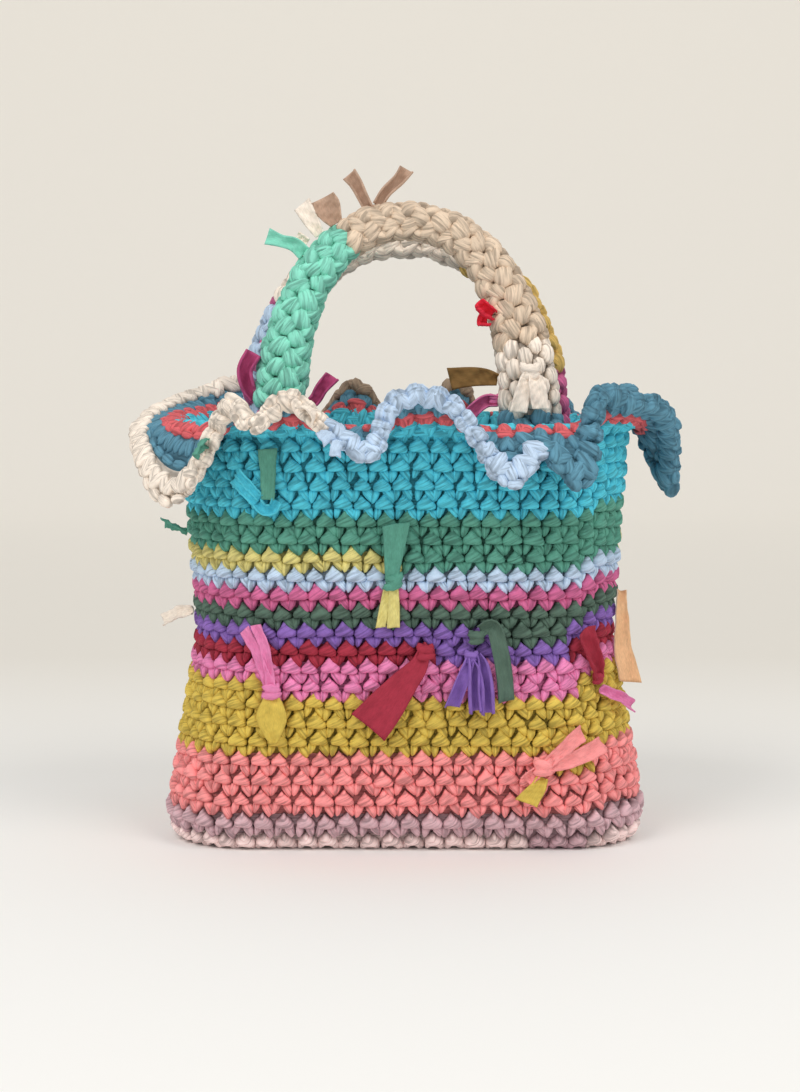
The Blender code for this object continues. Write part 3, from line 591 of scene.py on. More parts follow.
post = round_lobe(0.0062, 0.0128, 0.0060, pointed=0.12)
bar = round_lobe(0.0120, 0.0060, 0.0066, grain=0.0)
for node, yarn, colour, inner, outer, first, last in RUFFLE_ROUNDS:
    material = jersey(yarn, colour)
    parts = [ruffle_core(first, last, inner, outer)]
    rows = max(1, round((outer - inner) / ROW_SHARE))
    for row in range(rows):
        middle = inner + (outer - inner) * (row + 0.5) / rows
        steps = ruffle_steps(first, last, middle, RUFFLE_PITCH)
        shift = 0.25 * (steps[1] - steps[0])
        for turn, side in ((0.22, -1), (-0.28, 1)):
            place, along, across, out = ruffle_frame(steps + side * shift, middle + POST_SHARE)
            parts.append(copies(post, place, along, across, out, turn, uneven=0.09))
        place, along, across, out = ruffle_frame(steps, middle + BAR_SHARE)
        parts.append(copies(bar, place, along, across, out, 0.1, uneven=0.09))
    yarn_piece(node + "_stitches", parts, material, yarn + "_yarn", node)

# The last round ends in a tight chunky cord: leaning loops lie on both faces, a bar over them.
loop = round_lobe(0.0084, 0.0152, 0.0070, pointed=-0.15)
crest = round_lobe(0.0122, 0.0074, 0.0078, grain=0.0)
for node, yarn, colour, first, last in RUFFLE_EDGES:
    material = jersey(yarn, colour)
    steps = ruffle_steps(first, last, EDGE_CORE[1], RUFFLE_PITCH)
    shift = 0.25 * (steps[1] - steps[0])
    parts = [ruffle_core(first, last, *EDGE_CORE)]
    for side in (-1, 1):
        for lean, offset in ((0.55, -1), (-0.55, 1)):
            place, along, across, out = ruffle_frame(steps + offset * shift, LOOP_SHARE)
            parts.append(copies(loop, place + out * (LOOP_OFF * side), along, across, out, lean,
                                uneven=0.10))
    place, along, across, out = ruffle_frame(steps + 2 * shift, CREST_SHARE)
    parts.append(copies(crest, place, along, across, out, 0.25, uneven=0.12))
    yarn_piece(node + "_stitches", parts, material, yarn + "_yarn", node)


# The handles: straps of three stitches worked to and fro, joined inside the rim on both sides.
# Each is an arch that leans in to the middle, and its colours change along its length.
STRAP_WIDTH, STRAP_WIDE_FOOT, STRAP_TOP_WIDTH, STRAP_THICK = 0.032, 0.040, 0.022, 0.018
STRAP_FOOT, STRAP_FLAT, ARCH_POWER = 0.022, 0.5, 2.25
STRAP_STEPS = 52
STITCH_ROWS = 31
STRAP_FEET = {-1.0: (STRAP_WIDTH, STRAP_WIDE_FOOT), 1.0: (STRAP_WIDTH, STRAP_WIDTH)}
HANDLES = (
    (-1.0, 0.0725, 0.3665, 0.026, (
        ("front_handle_left_root", "pale_blue_magenta", None, 0.115),
        ("front_handle_mint", "mint", (0.24, 0.66, 0.52), 0.405),
        ("front_handle_beige", "beige", (0.68, 0.54, 0.41), 0.79),
        ("front_handle_cream", "cream", None, 0.905),
        ("front_handle_right_root", "slate", None, 1.0))),
    (1.0, 0.085, 0.358, 0.022, (
        ("back_handle_sky", "pale_blue_magenta", None, 0.27),
        ("back_handle_cream", "cream", None, 0.62),
        ("back_handle_ochre", "ochre", (0.66, 0.45, 0.14), 0.84),
        ("back_handle_magenta", "magenta", None, 1.0))),
)


def strap_line(half_span, top, top_depth, side):
    """Middle line of a strap, evenly spaced: straight feet in the wall and a superellipse arch."""
    foot = RIM - STRAP_FOOT
    radius = LOW_END_RADIUS + (RIM_END_RADIUS - LOW_END_RADIUS) * foot / RIM
    half = np.interp(foot, (0.0, WAIST_HEIGHT, RIM),
                     (LOW_HALF_WIDTH, WAIST_HALF_WIDTH, RIM_HALF_WIDTH))
    inner = radius - WALL
    sagitta = inner * (1 - math.cos(math.pi * COLUMN / PERIMETER))
    flats = STRAP_FLAT * np.array(STRAP_FEET[side]) / 2
    beyond = np.maximum(0, half_span + flats - (half - radius))
    depths = np.sqrt(inner ** 2 - beyond ** 2) - GAP - 2 * sagitta - STRAP_THICK / 2
    turns = np.linspace(0, math.pi, 721)
    cosine, sine = np.cos(turns), np.sin(turns)
    x = -half_span * np.sign(cosine) * np.abs(cosine) ** (2 / ARCH_POWER)
    rise = np.abs(sine) ** (2 / ARCH_POWER)
    depth = np.where(cosine > 0, depths[0], depths[1])
    y = side * (depth + (top_depth - depth) * rise)
    z = RIM + (top - RIM) * rise
    line = np.column_stack((np.concatenate(([-half_span], x, [half_span])),
                            np.concatenate(([side * depths[0]], y, [side * depths[1]])),
                            np.concatenate(([foot], z, [foot]))))
    length = np.concatenate(([0], np.cumsum(np.linalg.norm(np.diff(line, axis=0), axis=1))))
    even = np.linspace(0, length[-1], 9 * STRAP_STEPS + 1)
    return np.column_stack([np.interp(even, length, line[:, axis]) for axis in range(3)])


def strap_frame(line, share, side):
    """Middle of the strap at a share of its length, its way on, face, side and width."""
    at = np.linspace(0, 1, len(line))
    middle = np.column_stack([np.interp(share, at, line[:, axis]) for axis in range(3)])
    slope = np.gradient(line, axis=0)
    on = unit(np.column_stack([np.interp(share, at, slope[:, axis]) for axis in range(3)]))
    face = unit(np.array((0.0, side, 0.0)) - on * (on[:, 1:2] * side))
    foot = np.where(share < 0.5, STRAP_FEET[side][0], STRAP_FEET[side][1])
    width = foot + (STRAP_TOP_WIDTH - foot) * np.sin(math.pi * share) ** 2
    return middle, on, face, np.cross(on, face), width


def strap_surface(line, share, around, side, keep):
    """Place on the strap's oval section, with right, up and out there.

    The place goes round the oval by a share of its length: its turn grows with the length of the
    oval's arc, worked out for a middling width.
    """
    turns = np.linspace(0, 2 * math.pi, 361)
    middling = np.column_stack((0.0145 * np.cos(turns), STRAP_THICK / 2 * np.sin(turns)))
    arc = np.concatenate(([0], np.cumsum(np.linalg.norm(np.diff(middling, axis=0), axis=1))))
    turn = np.interp(around, arc / arc[-1], turns)
    middle, on, face, across, width = strap_frame(line, share, side)
    wide, thick = (width / 2 - 0.0034 * (keep < 1))[:, None], STRAP_THICK / 2 - 0.0022 * (keep < 1)
    wide, thick = wide * keep, thick * keep
    cosine, sine = np.cos(turn)[:, None], np.sin(turn)[:, None]
    place = middle + across * wide * cosine + face * thick * sine
    out = unit(across * cosine / wide + face * sine / thick)
    return place, np.cross(on, out), on, out


yarns["pale_blue_magenta"] = yarn_material("pale_blue_and_magenta_jersey", DYES["pale_blue"],
                                           DYES["magenta"])
blob = round_lobe(0.0116, 0.0122, 0.0086)
leaf = round_lobe(0.0062, 0.0126, 0.0092, pointed=0.15)
rib = round_lobe(0.0096, 0.0128, 0.0080, pointed=0.10)
BLOB_LEAN, LEAF_ASIDE, LEAF_LEAN, MAGENTA_SHARE = 0.35, 0.0026, 0.56, 0.3
BLOBS_ROUND, RIBS_ROUND = 8, 10
straps = {}
for side, half_span, top, top_depth, sections in HANDLES:
    line = strap_line(half_span, top, top_depth, side)
    straps[side] = line
    first = 0.0
    for node, yarn, colour, last in sections:
        material = jersey(yarn, colour)
        parts = []
        # The cream foot in front is worked in upright ribs, the rest in leaning bobbles.
        ribbed = yarn == "cream" and side < 0
        places = RIBS_ROUND if ribbed else BLOBS_ROUND
        for row in range(STITCH_ROWS):
            for place in range(places):
                at = (row + 0.5 + 0.25 * (1 if place % 2 else -1)) / STITCH_ROWS
                if not first <= at < last:
                    continue
                where = np.full(1, (place + 0.5) / places)
                spot, right, up, out = strap_surface(line, np.full(1, at), where, side, 0.999)
                dyed = MAGENTA_SHARE if "magenta" in yarn else 0.0
                if ribbed:
                    parts.append(copies(rib, spot, right, up, out, 0.0, uneven=0.10))
                    continue
                way = 1 if place % 2 else -1
                parts.append(copies(blob, spot, right, up, out, BLOB_LEAN * way, uneven=0.10,
                                    second=dyed))
                parts.append(copies(leaf, spot + right * (LEAF_ASIDE * way), right, up, out,
                                    LEAF_LEAN * way, uneven=0.10, second=dyed))
        # The strap's core under the bobbles takes rise 0.2, so it is painted with shade.
        fine = np.linspace(first, last, max(4, int((last - first) * 104)))
        rings = [strap_surface(line, fine, np.full(len(fine), spot), side, 0.80)[0]
                 for spot in np.linspace(0, 1, 12, endpoint=False)]
        parts.append(swept(np.stack(rings, axis=1), False, low=0.2))
        slot = "pale_blue" if yarn == "pale_blue_magenta" else yarn
        yarn_piece(node + "_stitches", parts, material, slot + "_yarn", node)
        first = last


# The yarn ends: where two yarns meet they are knotted, and the strips of cut jersey are left long.
# Pulled jersey rolls into a tube, and a wide or slack strip stays flat or cups.
RIDGE = 0.0015
STRIP_THICK, STRIP_LIFT, KNOT_LIFT = 0.0009, 0.0012, 0.0028
STRIP_STEPS, STRIP_SIDE = 28, 9
KNOT_CLOTH = 0.016
MILLIMETRES = (0.001, 0.001, 0.001, 0.001, 1)


def strip(points, facing, widths, curls, slant=0.0):
    """One strip of jersey: an arc across it, carried along a smooth line through its stations.

    Stations are joined by Catmull-Rom curves. The arc's angle is the curl, and its radius is half
    the shown width over the sine of half the curl, so its edges lift off the strip's face. Slow
    waves ruck it, and the free end is cut on the slant.
    """
    count = len(points)
    at = np.linspace(0, count - 1, STRIP_STEPS)
    values = np.column_stack((points, facing, widths, curls))
    padded = np.vstack((2 * values[0] - values[1], values, 2 * values[-1] - values[-2]))
    index = np.minimum(at.astype(int), count - 2)
    part = (at - index)[:, None]
    a, b, c, d = (padded[index + shift] for shift in range(4))
    smooth = 0.5 * (2 * b + (c - a) * part + (2 * a - 5 * b + 4 * c - d) * part ** 2
                    + (3 * b - a - 3 * c + d) * part ** 3)
    middle, face = smooth[:, :3], smooth[:, 3:6]
    width = np.maximum(smooth[:, 6], 0.003)[:, None]
    curl = smooth[:, 7][:, None]
    on = unit(np.gradient(middle, axis=0))
    face = unit(face - on * np.sum(face * on, axis=1, keepdims=True))
    across = np.cross(on, face)
    half = np.abs(curl) / 2
    radius = width / 2 / np.sin(np.minimum(half, math.pi / 2))
    spot = np.linspace(-0.5, 0.5, STRIP_SIDE)[None]
    angle = curl * spot
    length = np.linspace(0, 1, STRIP_STEPS)[:, None]
    phases = chance.uniform(0, 2 * math.pi, 3)
    ruck = 0.00045 * np.sin(2 * math.pi * (2.3 * length + 1.1 * spot) + phases[0])
    ruck = ruck + 0.00025 * np.sin(2 * math.pi * (5.1 * length - 1.7 * spot) + phases[1])
    aside = radius * np.sin(np.abs(angle)) * np.sign(spot)
    lift = np.sign(curl) * (radius * (1 - np.cos(angle)) - radius * (1 - np.cos(half)) / 2) + ruck
    shift = slant * width * spot * np.clip(length * 4 - 3, 0, 1) ** 2
    sheet = (middle[:, None] + across[:, None] * aside[..., None] + face[:, None] * lift[..., None]
             + on[:, None] * shift[..., None])
    tilt = np.sign(curl) * np.sin(np.abs(angle)) * np.sign(spot)
    normal = face[:, None] * np.cos(angle)[..., None] - across[:, None] * tilt[..., None]
    both = (sheet + normal * STRIP_THICK / 2, (sheet - normal * STRIP_THICK / 2)[:, ::-1])
    made = swept(np.concatenate(both, axis=1), False, low=0.95)
    made["second"] = np.tile(np.repeat((0.0, 1.0), STRIP_SIDE), STRIP_STEPS)
    cut = np.linalg.norm(np.diff(middle, axis=0), axis=1).sum()
    return made, float(np.mean(radius * np.abs(curl))), float(cut)


def wall_place(along, height, lift):
    """Place off the ridges of the wall, and the way it faces."""
    return oval(along, height, -(RIDGE + GAP + lift))


def strap_start(side, share, way):
    """Where an end leaves a strap: out of its six-sided section, by the way across and forwards."""
    ring = 2 * round((share * STRAP_STEPS - 1) / 2) + 1
    share = np.full(1, ring / STRAP_STEPS)
    middle, on, face, across, width = strap_frame(straps[side], share, side)
    corners = [across[0] * (width[0] / 2 * a) + face[0] * (STRAP_THICK / 2 * b)
               for a, b in ((-1, 0), (-0.5, 1), (0.5, 1), (1, 0), (0.5, -1), (-0.5, -1))]
    out = corners[3] * way[0] + (corners[1] + corners[2]) / 2 * way[1]
    out = out / np.linalg.norm(out)
    return middle[0] + out * (max(corner @ out for corner in corners) + 2 * GAP), out


knot_wrap = round_lobe(0.0056, 0.0112, 0.0054, corners=8, pointed=0.1)


def knot(place, right, up, out, size=1.0):
    """A tight knot of four wraps of yarn that cross over each other."""
    parts = []
    for turn, aside, high, off in ((0.5, -0.0016, 0, 0), (-0.55, 0.0018, 0.0004, 0.0006),
                                   (1.45, 0, 0.0016, 0.0014), (1.75, 0, -0.0022, 0.0004)):
        spot = place + (right * aside + up * high + out * off) * size
        parts.append(copies(knot_wrap, spot[None], right[None], up[None], out[None], turn, size,
                            0.08))
    return parts


def yarn_end(node, yarn, slot, strips, knots):
    """One loose end: its strips and knots in one piece.

    Strips are stations of place, facing, width and curl with a slant. A knot takes up cloth too.
    """
    parts, widths, lengths = [], [], []
    for stations, slant in strips:
        points, facing, wide, curls = (np.array(value, float) for value in zip(*stations))
        made, across, cut = strip(points, facing, wide, curls, slant)
        parts.append(made)
        widths.append(across)
        lengths.append(cut)
    for place, right, up, out, size in knots:
        parts += knot(place, right, up, out, size)
    wide = max(0.010, float(np.mean(widths)))
    cut = sum(a * b for a, b in zip(widths, lengths)) / wide + KNOT_CLOTH * len(knots)
    name = node + "_strip"
    nodes = (node,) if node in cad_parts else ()
    piece = yarn_piece(name, parts, cut_yarns[yarn], slot + "_yarn", *nodes)


# Ends tied off on the wall where the colours change. A station of a strip is its length along the
# wall, height, lift and shown width in millimetres, and its curl. A slant, and a facing if it
# isn't the wall's, follow. A knot has its length along, its height and its size.
WALL_ENDS = (
    ("end_green_front", "green", "round_lime", (
        (((-7.8, 160, 2, 6, 2), (-7.8, 167, 3, 8, 1.2), (-6.8, 178, 3, 11, 0.6),
          (-5.2, 195, 4, 15.5, 0.7)), 0.25),), ((-7.5, 161.5, 1.05),)),
    ("end_lime_front", "lime", "round_pale_blue", (
        (((-10, 159, 1, 4.5, 1.8), (-12.2, 149, 2, 5, 1.6), (-15.2, 135, 3, 5.2, 1.6)), 0.3),
        (((-7, 159, 2, 5, 1.2), (-6.8, 149, 3, 6.2, 1), (-7.2, 135, 4, 7.2, 0.9)), 0.1)), ()),
    ("end_pink_left", "pink", "rounds_pink", (
        (((-82.8, 99, 1, 6, 2.5), (-87, 110, 3, 5.8, 2), (-92.5, 122, 3, 6, 1.8),
          (-98.5, 133, 4, 6.6, 1.4)), 0.2),
        (((-82, 99, 2, 5, 2.5), (-84, 111, 3, 5.5, 2), (-86.8, 124, 4, 5.8, 1.8),
          (-91.2, 136, 4, 6, 1.4)), -0.2)), ((-82, 97.5, 1),)),
    ("end_mustard_leaf", "mustard", "rounds_mustard", (
        (((-82.2, 95.5, 1, 6, 2), (-81.5, 89, 3, 14, 0.8), (-81.2, 81, 3, 17.5, 0.7),
          (-80.6, 73, 3, 11, 0.8), (-80.3, 66.5, 2, 4, 1)), 0),), ()),
    ("end_burgundy_wide", "burgundy", "rounds_pink", (
        (((11.8, 121, 1, 6, 2.2), (8, 112, 3, 11, 0.8), (-2, 101, 4, 16.5, 0.6),
          (-12, 89, 5, 21.5, 0.6), (-22.5, 77, 5, 24.5, 0.7)), 0),), ((13, 120.5, 1.05),)),
    ("end_purple_pair", "purple", "round_burgundy", (
        (((42, 118.5, 1, 5, 3), (40, 114, 3, 5.5, 2.6), (35, 103, 4, 7, 3.6),
          (29, 89, 4, 7.5, 3.6)), 0.4),
        (((43, 118.5, 1, 5, 3.4), (43.5, 112, 2, 6.5, 4.8), (43, 100, 3, 7.2, 5.2),
          (43.5, 86, 3, 7.5, 5)), 0.1),
        (((45, 118.5, 1, 5, 3.4), (49, 112, 2, 6.5, 4.8), (51, 100, 3, 7.2, 5.2),
          (51, 85, 3, 7.5, 5)), 0.1)), ((41.5, 117.5, 0.85),)),
    ("end_dark_green", "dark_green", "round_purple", (
        (((47, 133, 1, 6, 3.4), (54.5, 136, 3, 7.5, 3), (59, 126, 4, 8.8, 1.8),
          (61.8, 109, 4, 9, 1.3), (62.6, 92, 4, 9, 1.1)), 0.2),), ((45, 129, 0.9),)),
    ("end_burgundy_right", "burgundy", "rounds_pink", (
        (((122.5, 103, 1, 6, 3.6), (118, 114, 3, 8.5, 3.6), (113.5, 124, 4, 10.5, 3),
          (110.5, 131.5, 5, 12, 2.4)), 0.2),), ((122.8, 102.5, 0.75),)),
    ("end_pink_right", "pink", "rounds_mustard", (
        (((124, 96, 1, 5, 3.4), (131, 92.5, 2, 5.5, 3.4), (140, 89, 3, 5.8, 3.2),
          (152, 82, 5, 6.8, 2.4)), 0.3),), ()),
    ("end_cream_right", "cream_orange", "round_burgundy", (
        (((162, 150, 1, 6, -2.4), (157, 138, 3, 8, -1.8), (153.5, 118, 4, 11.5, -1.3),
          (152.5, 96.5, 5, 14, -1.3)), 0.3, (-0.45, 1, 0)),), ()),
    ("end_coral_bow", "coral", "rounds_coral_pink", (
        (((86, 55, 2, 6, 2.4), (91.5, 60, 3, 7.5, 1.4), (98.5, 67, 5, 9, 1.2),
          (105, 73, 6, 10, 1.2)), -0.3),
        (((87, 53, 2, 6, 2.4), (96, 55.5, 3, 8, 1.4), (106, 60, 5, 10, 1.2),
          (117, 65, 6, 11.2, 1.2)), 0.2),
        (((80, 50, 1, 6, 3), (76, 47, 1, 7, 2.6),
          (72.5, 44, 1, 7, 2.4)), 0.2)), ((83.5, 52.5, 1.15),)),
    ("end_mustard_right", "mustard", "rounds_lilac", (
        (((82.5, 46.5, 1, 6, 2.6), (79.5, 40.5, 3, 9, 1.4), (72, 31.5, 4, 13, 0.8)), 0.3),), ()),
    ("end_cream_left", "cream", "round_lime", (
        (((-160, 138, 0, 5, 3), (-165, 136, 8, 8, 2.2), (-169.5, 130.5, 18, 10, 1.4)), 0.2),), ()),
    ("end_green_rim", "green", "rounds_turquoise", (
        (((-79, 208.5, 4, 7.5, 0.6), (-78.6, 217, 3, 8.5, 0.5), (-78.4, 227, 2, 9.5, 0.4),
          (-78, 237.5, 2, 11.5, 0.4)), 0.1),), ()),
    ("end_turquoise_rim", "turquoise", "rounds_green", (
        (((-83.5, 209.5, 2, 4.5, 3.4), (-88, 215, 2, 4.5, 3.4), (-96, 224, 3, 5, 2.6)), 0.2),
        (((-86, 206.5, 2, 4.5, 3.4), (-92, 213, 3, 4.5, 3.4), (-98.5, 220.5, 3, 5.5, 2.6)), 0.2),
        (((-85, 207, 1, 6, 4), (-81.5, 203, 2, 6, 4), (-76.5, 203.5, 2, 6, 4),
          (-74, 208, 1, 6, 4)), 0)), ()),
    ("end_green_left", "green", "rounds_green", (
        (((-175, 183.5, 0, 5, 3), (-176.5, 186.5, 8, 6, 2.2), (-178.5, 189, 15, 8, 1)), 0.3),), ()),
)
# Ends on the handles: the handle's side, the share of its length and the way out of it. A station
# goes out from it by the first length and shifts along X and Z.
STRAP_ENDS = (
    ("end_taupe_left", "taupe", "front_handle_beige", -1, 0.44, (-1, 0), (
        (((-2, 4, 0, 5.5, 4.4), (7, 3, 0, 6, 4.6), (15, 2, 0, 7, 4.4),
          (21, 0, 0, 8.5, 4)), 0.1),), ()),
    ("end_taupe_right", "taupe", "front_handle_beige", -1, 0.48, (-1, 0), (
        (((-2, -8, 0, 5.5, 4.4), (6, -2, 0, 6, 4.6), (13, 6, 0, 6.6, 4.4),
          (19, 11, 0, 8, 4)), 0.2),), ()),
    ("end_brown_cup", "taupe", "front_handle_beige", -1, 0.39, (-1, 0), (
        (((-1, 0, 0, 7, 3.4), (4, 0, 1, 12, 3), (10, 1, 1, 15, 2.6),
          (16, 2, 1, 13.5, 2.6)), 0),), ()),
    ("end_cream_top", "cream", "front_handle_mint", -1, 0.365, (-1, 0), (
        (((-1, 3, 4, 5, 3.6), (7, 4, 7, 8.5, 2), (17, 6, 10, 10.5, 1.6)), 0.2),
        (((-1, -4, 0, 4, 3.6), (5, -6, 0, 5, 2.6)), 0)), ()),
    ("end_mint", "mint", "front_handle_mint", -1, 0.335, (-1, 0), (
        (((-1, 4, 6, 8, 2.6), (7, 5, 7, 7.5, 2.6), (15, 4, 5, 6.5, 2.4),
          (22, 2, 4, 9.5, 1.2)), 0),), ()),
    ("end_cream_knot", "cream", "front_handle_cream", -1, 0.855, (0, 1), (
        (((6, -1, 7, 6, 2.6), (9, -3, 0, 9, 1.4), (10, -7, -15, 10, 1.2)), 0.2),
        (((6, 2, 7, 6, 2.6), (9, 4, 0, 10, 1.4), (9, 6, -13, 10, 1)), -0.2)), ((5, 0, 9, 1.1),)),
    ("end_olive", "olive", "front_handle_cream", -1, 0.875, (1, 0), (
        (((-1, 0, 8, 6, 2.6), (6, 0, 10, 9.5, 1), (14, 0, 11, 11, 0.6),
          (27, 0, 11, 12.5, 0.6)), 0.15),), ()),
    ("end_magenta_right", "magenta", "front_handle_cream", -1, 0.905, (1, 0), (
        (((-1, 0, 9, 6, 4.4), (6, 0, 9, 7, 4.2), (13, 0, 4, 7, 4),
          (20, 0, -5, 9, 3.4)), 0),), ((1, 0, 10, 0.6),)),
    ("end_red_loop", "red", "front_handle_beige", -1, 0.755, (0.5, 1), (
        (((-1, -5, 3, 6, 4.6), (4, -7, 7, 7.5, 4.8), (6, -9, 11, 6.5, 4.6)), 0),
        (((0, -7, 0, 5.5, 4.8), (4, -10, 1, 6.5, 4.8)), 0)), ()),
    ("end_magenta_back", "magenta", "back_handle_sky", 1, 0.24, (-1, 0), (
        (((-3, -4, 2, 8, 4), (1, -6, 2, 10, 4), (5, -9, 1, 11, 4.2)), 0),
        (((0, -4, -6, 7, 4.4), (3, -7, -10, 8, 4.4)), 0)), ()),
    ("end_magenta_left", "magenta_dark", "front_handle_left_root", -1, 0.135, (-1, 0), (
        (((-1, 0, -6, 6, 4.6), (3, 0, 0, 8, 4.8), (7, 2, 10, 8.8, 4.8),
          (6, 6, 20, 9, 4.4)), 0),), ()),
    ("end_magenta_middle", "magenta_dark", "front_handle_left_root", -1, 0.135, (1, 0), (
        (((-1, -1, -9, 6, 4.6), (4, 0, -3, 6.5, 4.6), (8, 0, 4, 7, 4.4),
          (13, 1, 11, 8, 4.2)), 0.3),), ()),
)
# Ends on the ruffle's edge carry on from it: a station goes on by the first length, drops, and
# shifts along the edge.
RUFFLE_ENDS = (
    ("end_cream_ruffle", "cream", "ruffle_edge_cream", 4.65, (
        (((-1, 0, 0, 8, 3.4), (5, -1, 0, 11, 3.2), (10, -4, 0, 13.5, 2.8)), 0.2),)),
    ("end_pale_blue_ruffle", "pale_blue", "ruffle_edge_pale_blue", 5.3, (
        (((-1, 0, -2, 6, 2.2), (5, 1, -4, 7.5, 1.6), (11, -2, -6, 9, 1.2)), 0.3),
        (((-1, 0, 2, 5, 2.2), (6, 1, 4, 6, 1.6), (12, -3, 6, 7, 1.2)), -0.3))),
    ("end_green_ruffle", "green", "ruffle_edge_cream", 1.6, (
        (((-1, 1, 0, 5, 3.6), (5, 3, -4, 6, 3.2), (10, 2, -10, 7, 2.4)), 0.2),)),
)
DYES.update(taupe=(0.50, 0.34, 0.25), olive=(0.20, 0.11, 0.035), red=(0.76, 0.03, 0.06),
            magenta_dark=(0.46, 0.075, 0.20), cream_orange=DYES["cream"])
ORANGE = (0.78, 0.47, 0.26)
cut_yarns = {yarn: yarn_material(yarn + "_cut_jersey", DYES[yarn],
                                 ORANGE if yarn == "cream_orange" else None, True)
             for yarn in sorted({end[1] for end in WALL_ENDS + STRAP_ENDS + RUFFLE_ENDS})}
END_SLOTS = {"magenta_dark": "magenta", "cream_orange": "cream"}

for node, yarn, rests, strips, knots in WALL_ENDS:
    placed = []
    for stations, slant, *turned in strips:
        stations = np.array(stations) * MILLIMETRES
        half = np.abs(stations[:, 4]) / 2
        hang = stations[:, 3] / 4 / np.sin(np.minimum(half, math.pi / 2)) * (1 - np.cos(half))
        lift = stations[:, 2] + hang + STRIP_LIFT
        point, normal = wall_place(stations[:, 0], stations[:, 1], lift)
        facing = np.broadcast_to(turned[0], normal.shape) if turned else normal
        placed.append((list(zip(point, facing, stations[:, 3], stations[:, 4])), slant))
    tied = []
    for along, height, size in knots:
        point, normal = wall_place(along / 1000, height / 1000, KNOT_LIFT)
        tied.append((point, np.cross((0, 0, 1.0), normal), np.array((0, 0, 1.0)), normal, size))
    yarn_end(node, yarn, END_SLOTS.get(yarn, yarn), placed, tied)

for node, yarn, rests, side, share, way, strips, knots in STRAP_ENDS:
    start, out = strap_start(side, share, way)
    facing = np.array((0.0, side, 0.0) if abs(way[0]) > abs(way[1]) else (0.3, side, 0.2))
    placed = [([(start + out * far + (x, 0, z), facing, wide, curl)
                for far, x, z, wide, curl in np.array(stations) * MILLIMETRES], slant)
              for stations, slant in strips]
    tied = [(start + (out * far + (x, 0, z)) / 1000, np.array((1.0, 0, 0)), np.array((0, 0, 1.0)),
             np.array((0, -1.0, 0)), size) for far, x, z, size in knots]
    yarn_end(node, yarn, END_SLOTS.get(yarn, yarn), placed, tied)

for node, yarn, rests, step, strips in RUFFLE_ENDS:
    edge, along, across, normal = (value[0] for value in ruffle_frame(np.full(1, step), 1.0))
    placed = [([(edge + across * (far + 5 * GAP) + along * aside + (0, 0, drop), normal, wide, curl)
                for far, drop, aside, wide, curl in np.array(stations) * MILLIMETRES], slant)
              for stations, slant in strips]
    yarn_end(node, yarn, yarn, placed, ())


# The floor is a pale sweep that turns warmer behind the bag and goes up in a curve far behind it.
# Two broad soft lamps and a pale surround light it evenly.
FLOOR_COLOUR, WALL_COLOUR = (0.93, 0.925, 0.91), (0.80, 0.77, 0.715)
profile = np.array([(-3.0, 0.0), (2.2, 0.0)]
                   + [(2.2 + 0.8 * math.sin(t), 0.8 - 0.8 * math.cos(t))
                      for t in np.linspace(0.1, math.pi / 2, 14)] + [(3.0, 3.2)])
wide = np.array((-3.0, 3.0))
grid = np.array([[(x, y, z) for x in wide] for y, z in profile])
quads = [(2 * i, 2 * i + 1, 2 * i + 3, 2 * i + 2) for i in range(len(profile) - 1)]
sweep_mesh = bpy.data.meshes.new("sweep")
sweep_mesh.from_pydata(grid.reshape(-1, 3).tolist(), [], quads)
sweep_mesh.polygons.foreach_set("use_smooth", np.ones(len(quads), bool))
paper = bpy.data.materials.new("warm_white_paper")
paper.use_nodes = True
paper_tree = paper.node_tree
paper_shader = paper_tree.nodes["Principled BSDF"]
paper_shader.inputs["Roughness"].default_value = 0.9
paper_place = paper_tree.nodes.new("ShaderNodeTexCoord")
paper_parts = paper_tree.nodes.new("ShaderNodeSeparateXYZ")
paper_fade = paper_tree.nodes.new("ShaderNodeMapRange")
paper_fade.inputs["From Min"].default_value = 0.15
paper_fade.inputs["From Max"].default_value = 0.75
paper_mix = paper_tree.nodes.new("ShaderNodeMix")
paper_mix.data_type = "RGBA"
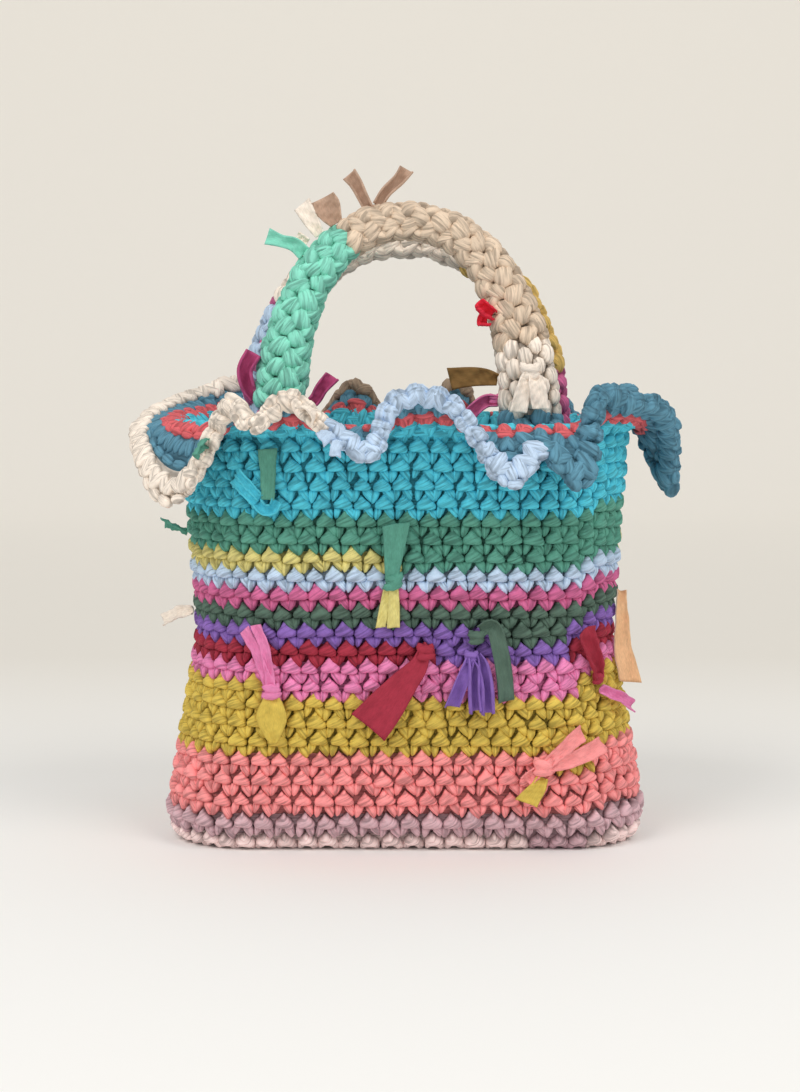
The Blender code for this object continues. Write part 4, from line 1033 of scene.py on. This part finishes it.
paper_mix.inputs["A"].default_value = (*FLOOR_COLOUR, 1.0)
paper_mix.inputs["B"].default_value = (*WALL_COLOUR, 1.0)
paper_tree.links.new(paper_place.outputs["Object"], paper_parts.inputs["Vector"])
paper_tree.links.new(paper_parts.outputs["Y"], paper_fade.inputs["Value"])
paper_tree.links.new(paper_fade.outputs["Result"], paper_mix.inputs["Factor"])
paper_tree.links.new(paper_mix.outputs["Result"], paper_shader.inputs["Base Color"])
# The far end of the sweep glows a little, as if a lamp of its own lit it.
paper_glow = paper_tree.nodes.new("ShaderNodeMapRange")
paper_glow.inputs["From Min"].default_value = 0.2
paper_glow.inputs["From Max"].default_value = 2.3
paper_glow.inputs["To Max"].default_value = 0.19
paper_tree.links.new(paper_parts.outputs["Y"], paper_glow.inputs["Value"])
paper_tree.links.new(paper_glow.outputs["Result"], paper_shader.inputs["Emission Strength"])
paper_shader.inputs["Emission Color"].default_value = (*WALL_COLOUR, 1.0)
sweep_mesh.materials.append(paper)
sweep = bpy.data.objects.new("sweep", sweep_mesh)
bpy.context.scene.collection.objects.link(sweep)


def lamp(name, place, target, size, power, colour):
    """A square soft lamp that faces its target."""
    data = bpy.data.lights.new(name, "AREA")
    data.shape, data.size, data.energy, data.color = "SQUARE", size, power, colour
    made = bpy.data.objects.new(name, data)
    bpy.context.scene.collection.objects.link(made)
    made.location = place
    made.rotation_euler = (Vector(target) - Vector(place)).to_track_quat("-Z", "Y").to_euler()


lamp("soft_left", (-1.1, -1.7, 2.4), (0, 0, 0.18), 1.1, 25, (1.0, 0.985, 0.96))
lamp("soft_right", (1.3, -1.5, 2.2), (0, 0, 0.18), 1.2, 19, (1.0, 0.975, 0.94))
world = bpy.data.worlds.new("surround")
world.use_nodes = True
world.node_tree.nodes["Background"].inputs["Color"].default_value = (1.0, 0.99, 0.97, 1.0)
world.node_tree.nodes["Background"].inputs["Strength"].default_value = 0.62
bpy.context.scene.world = world
bpy.context.scene.view_settings.view_transform = "Standard"
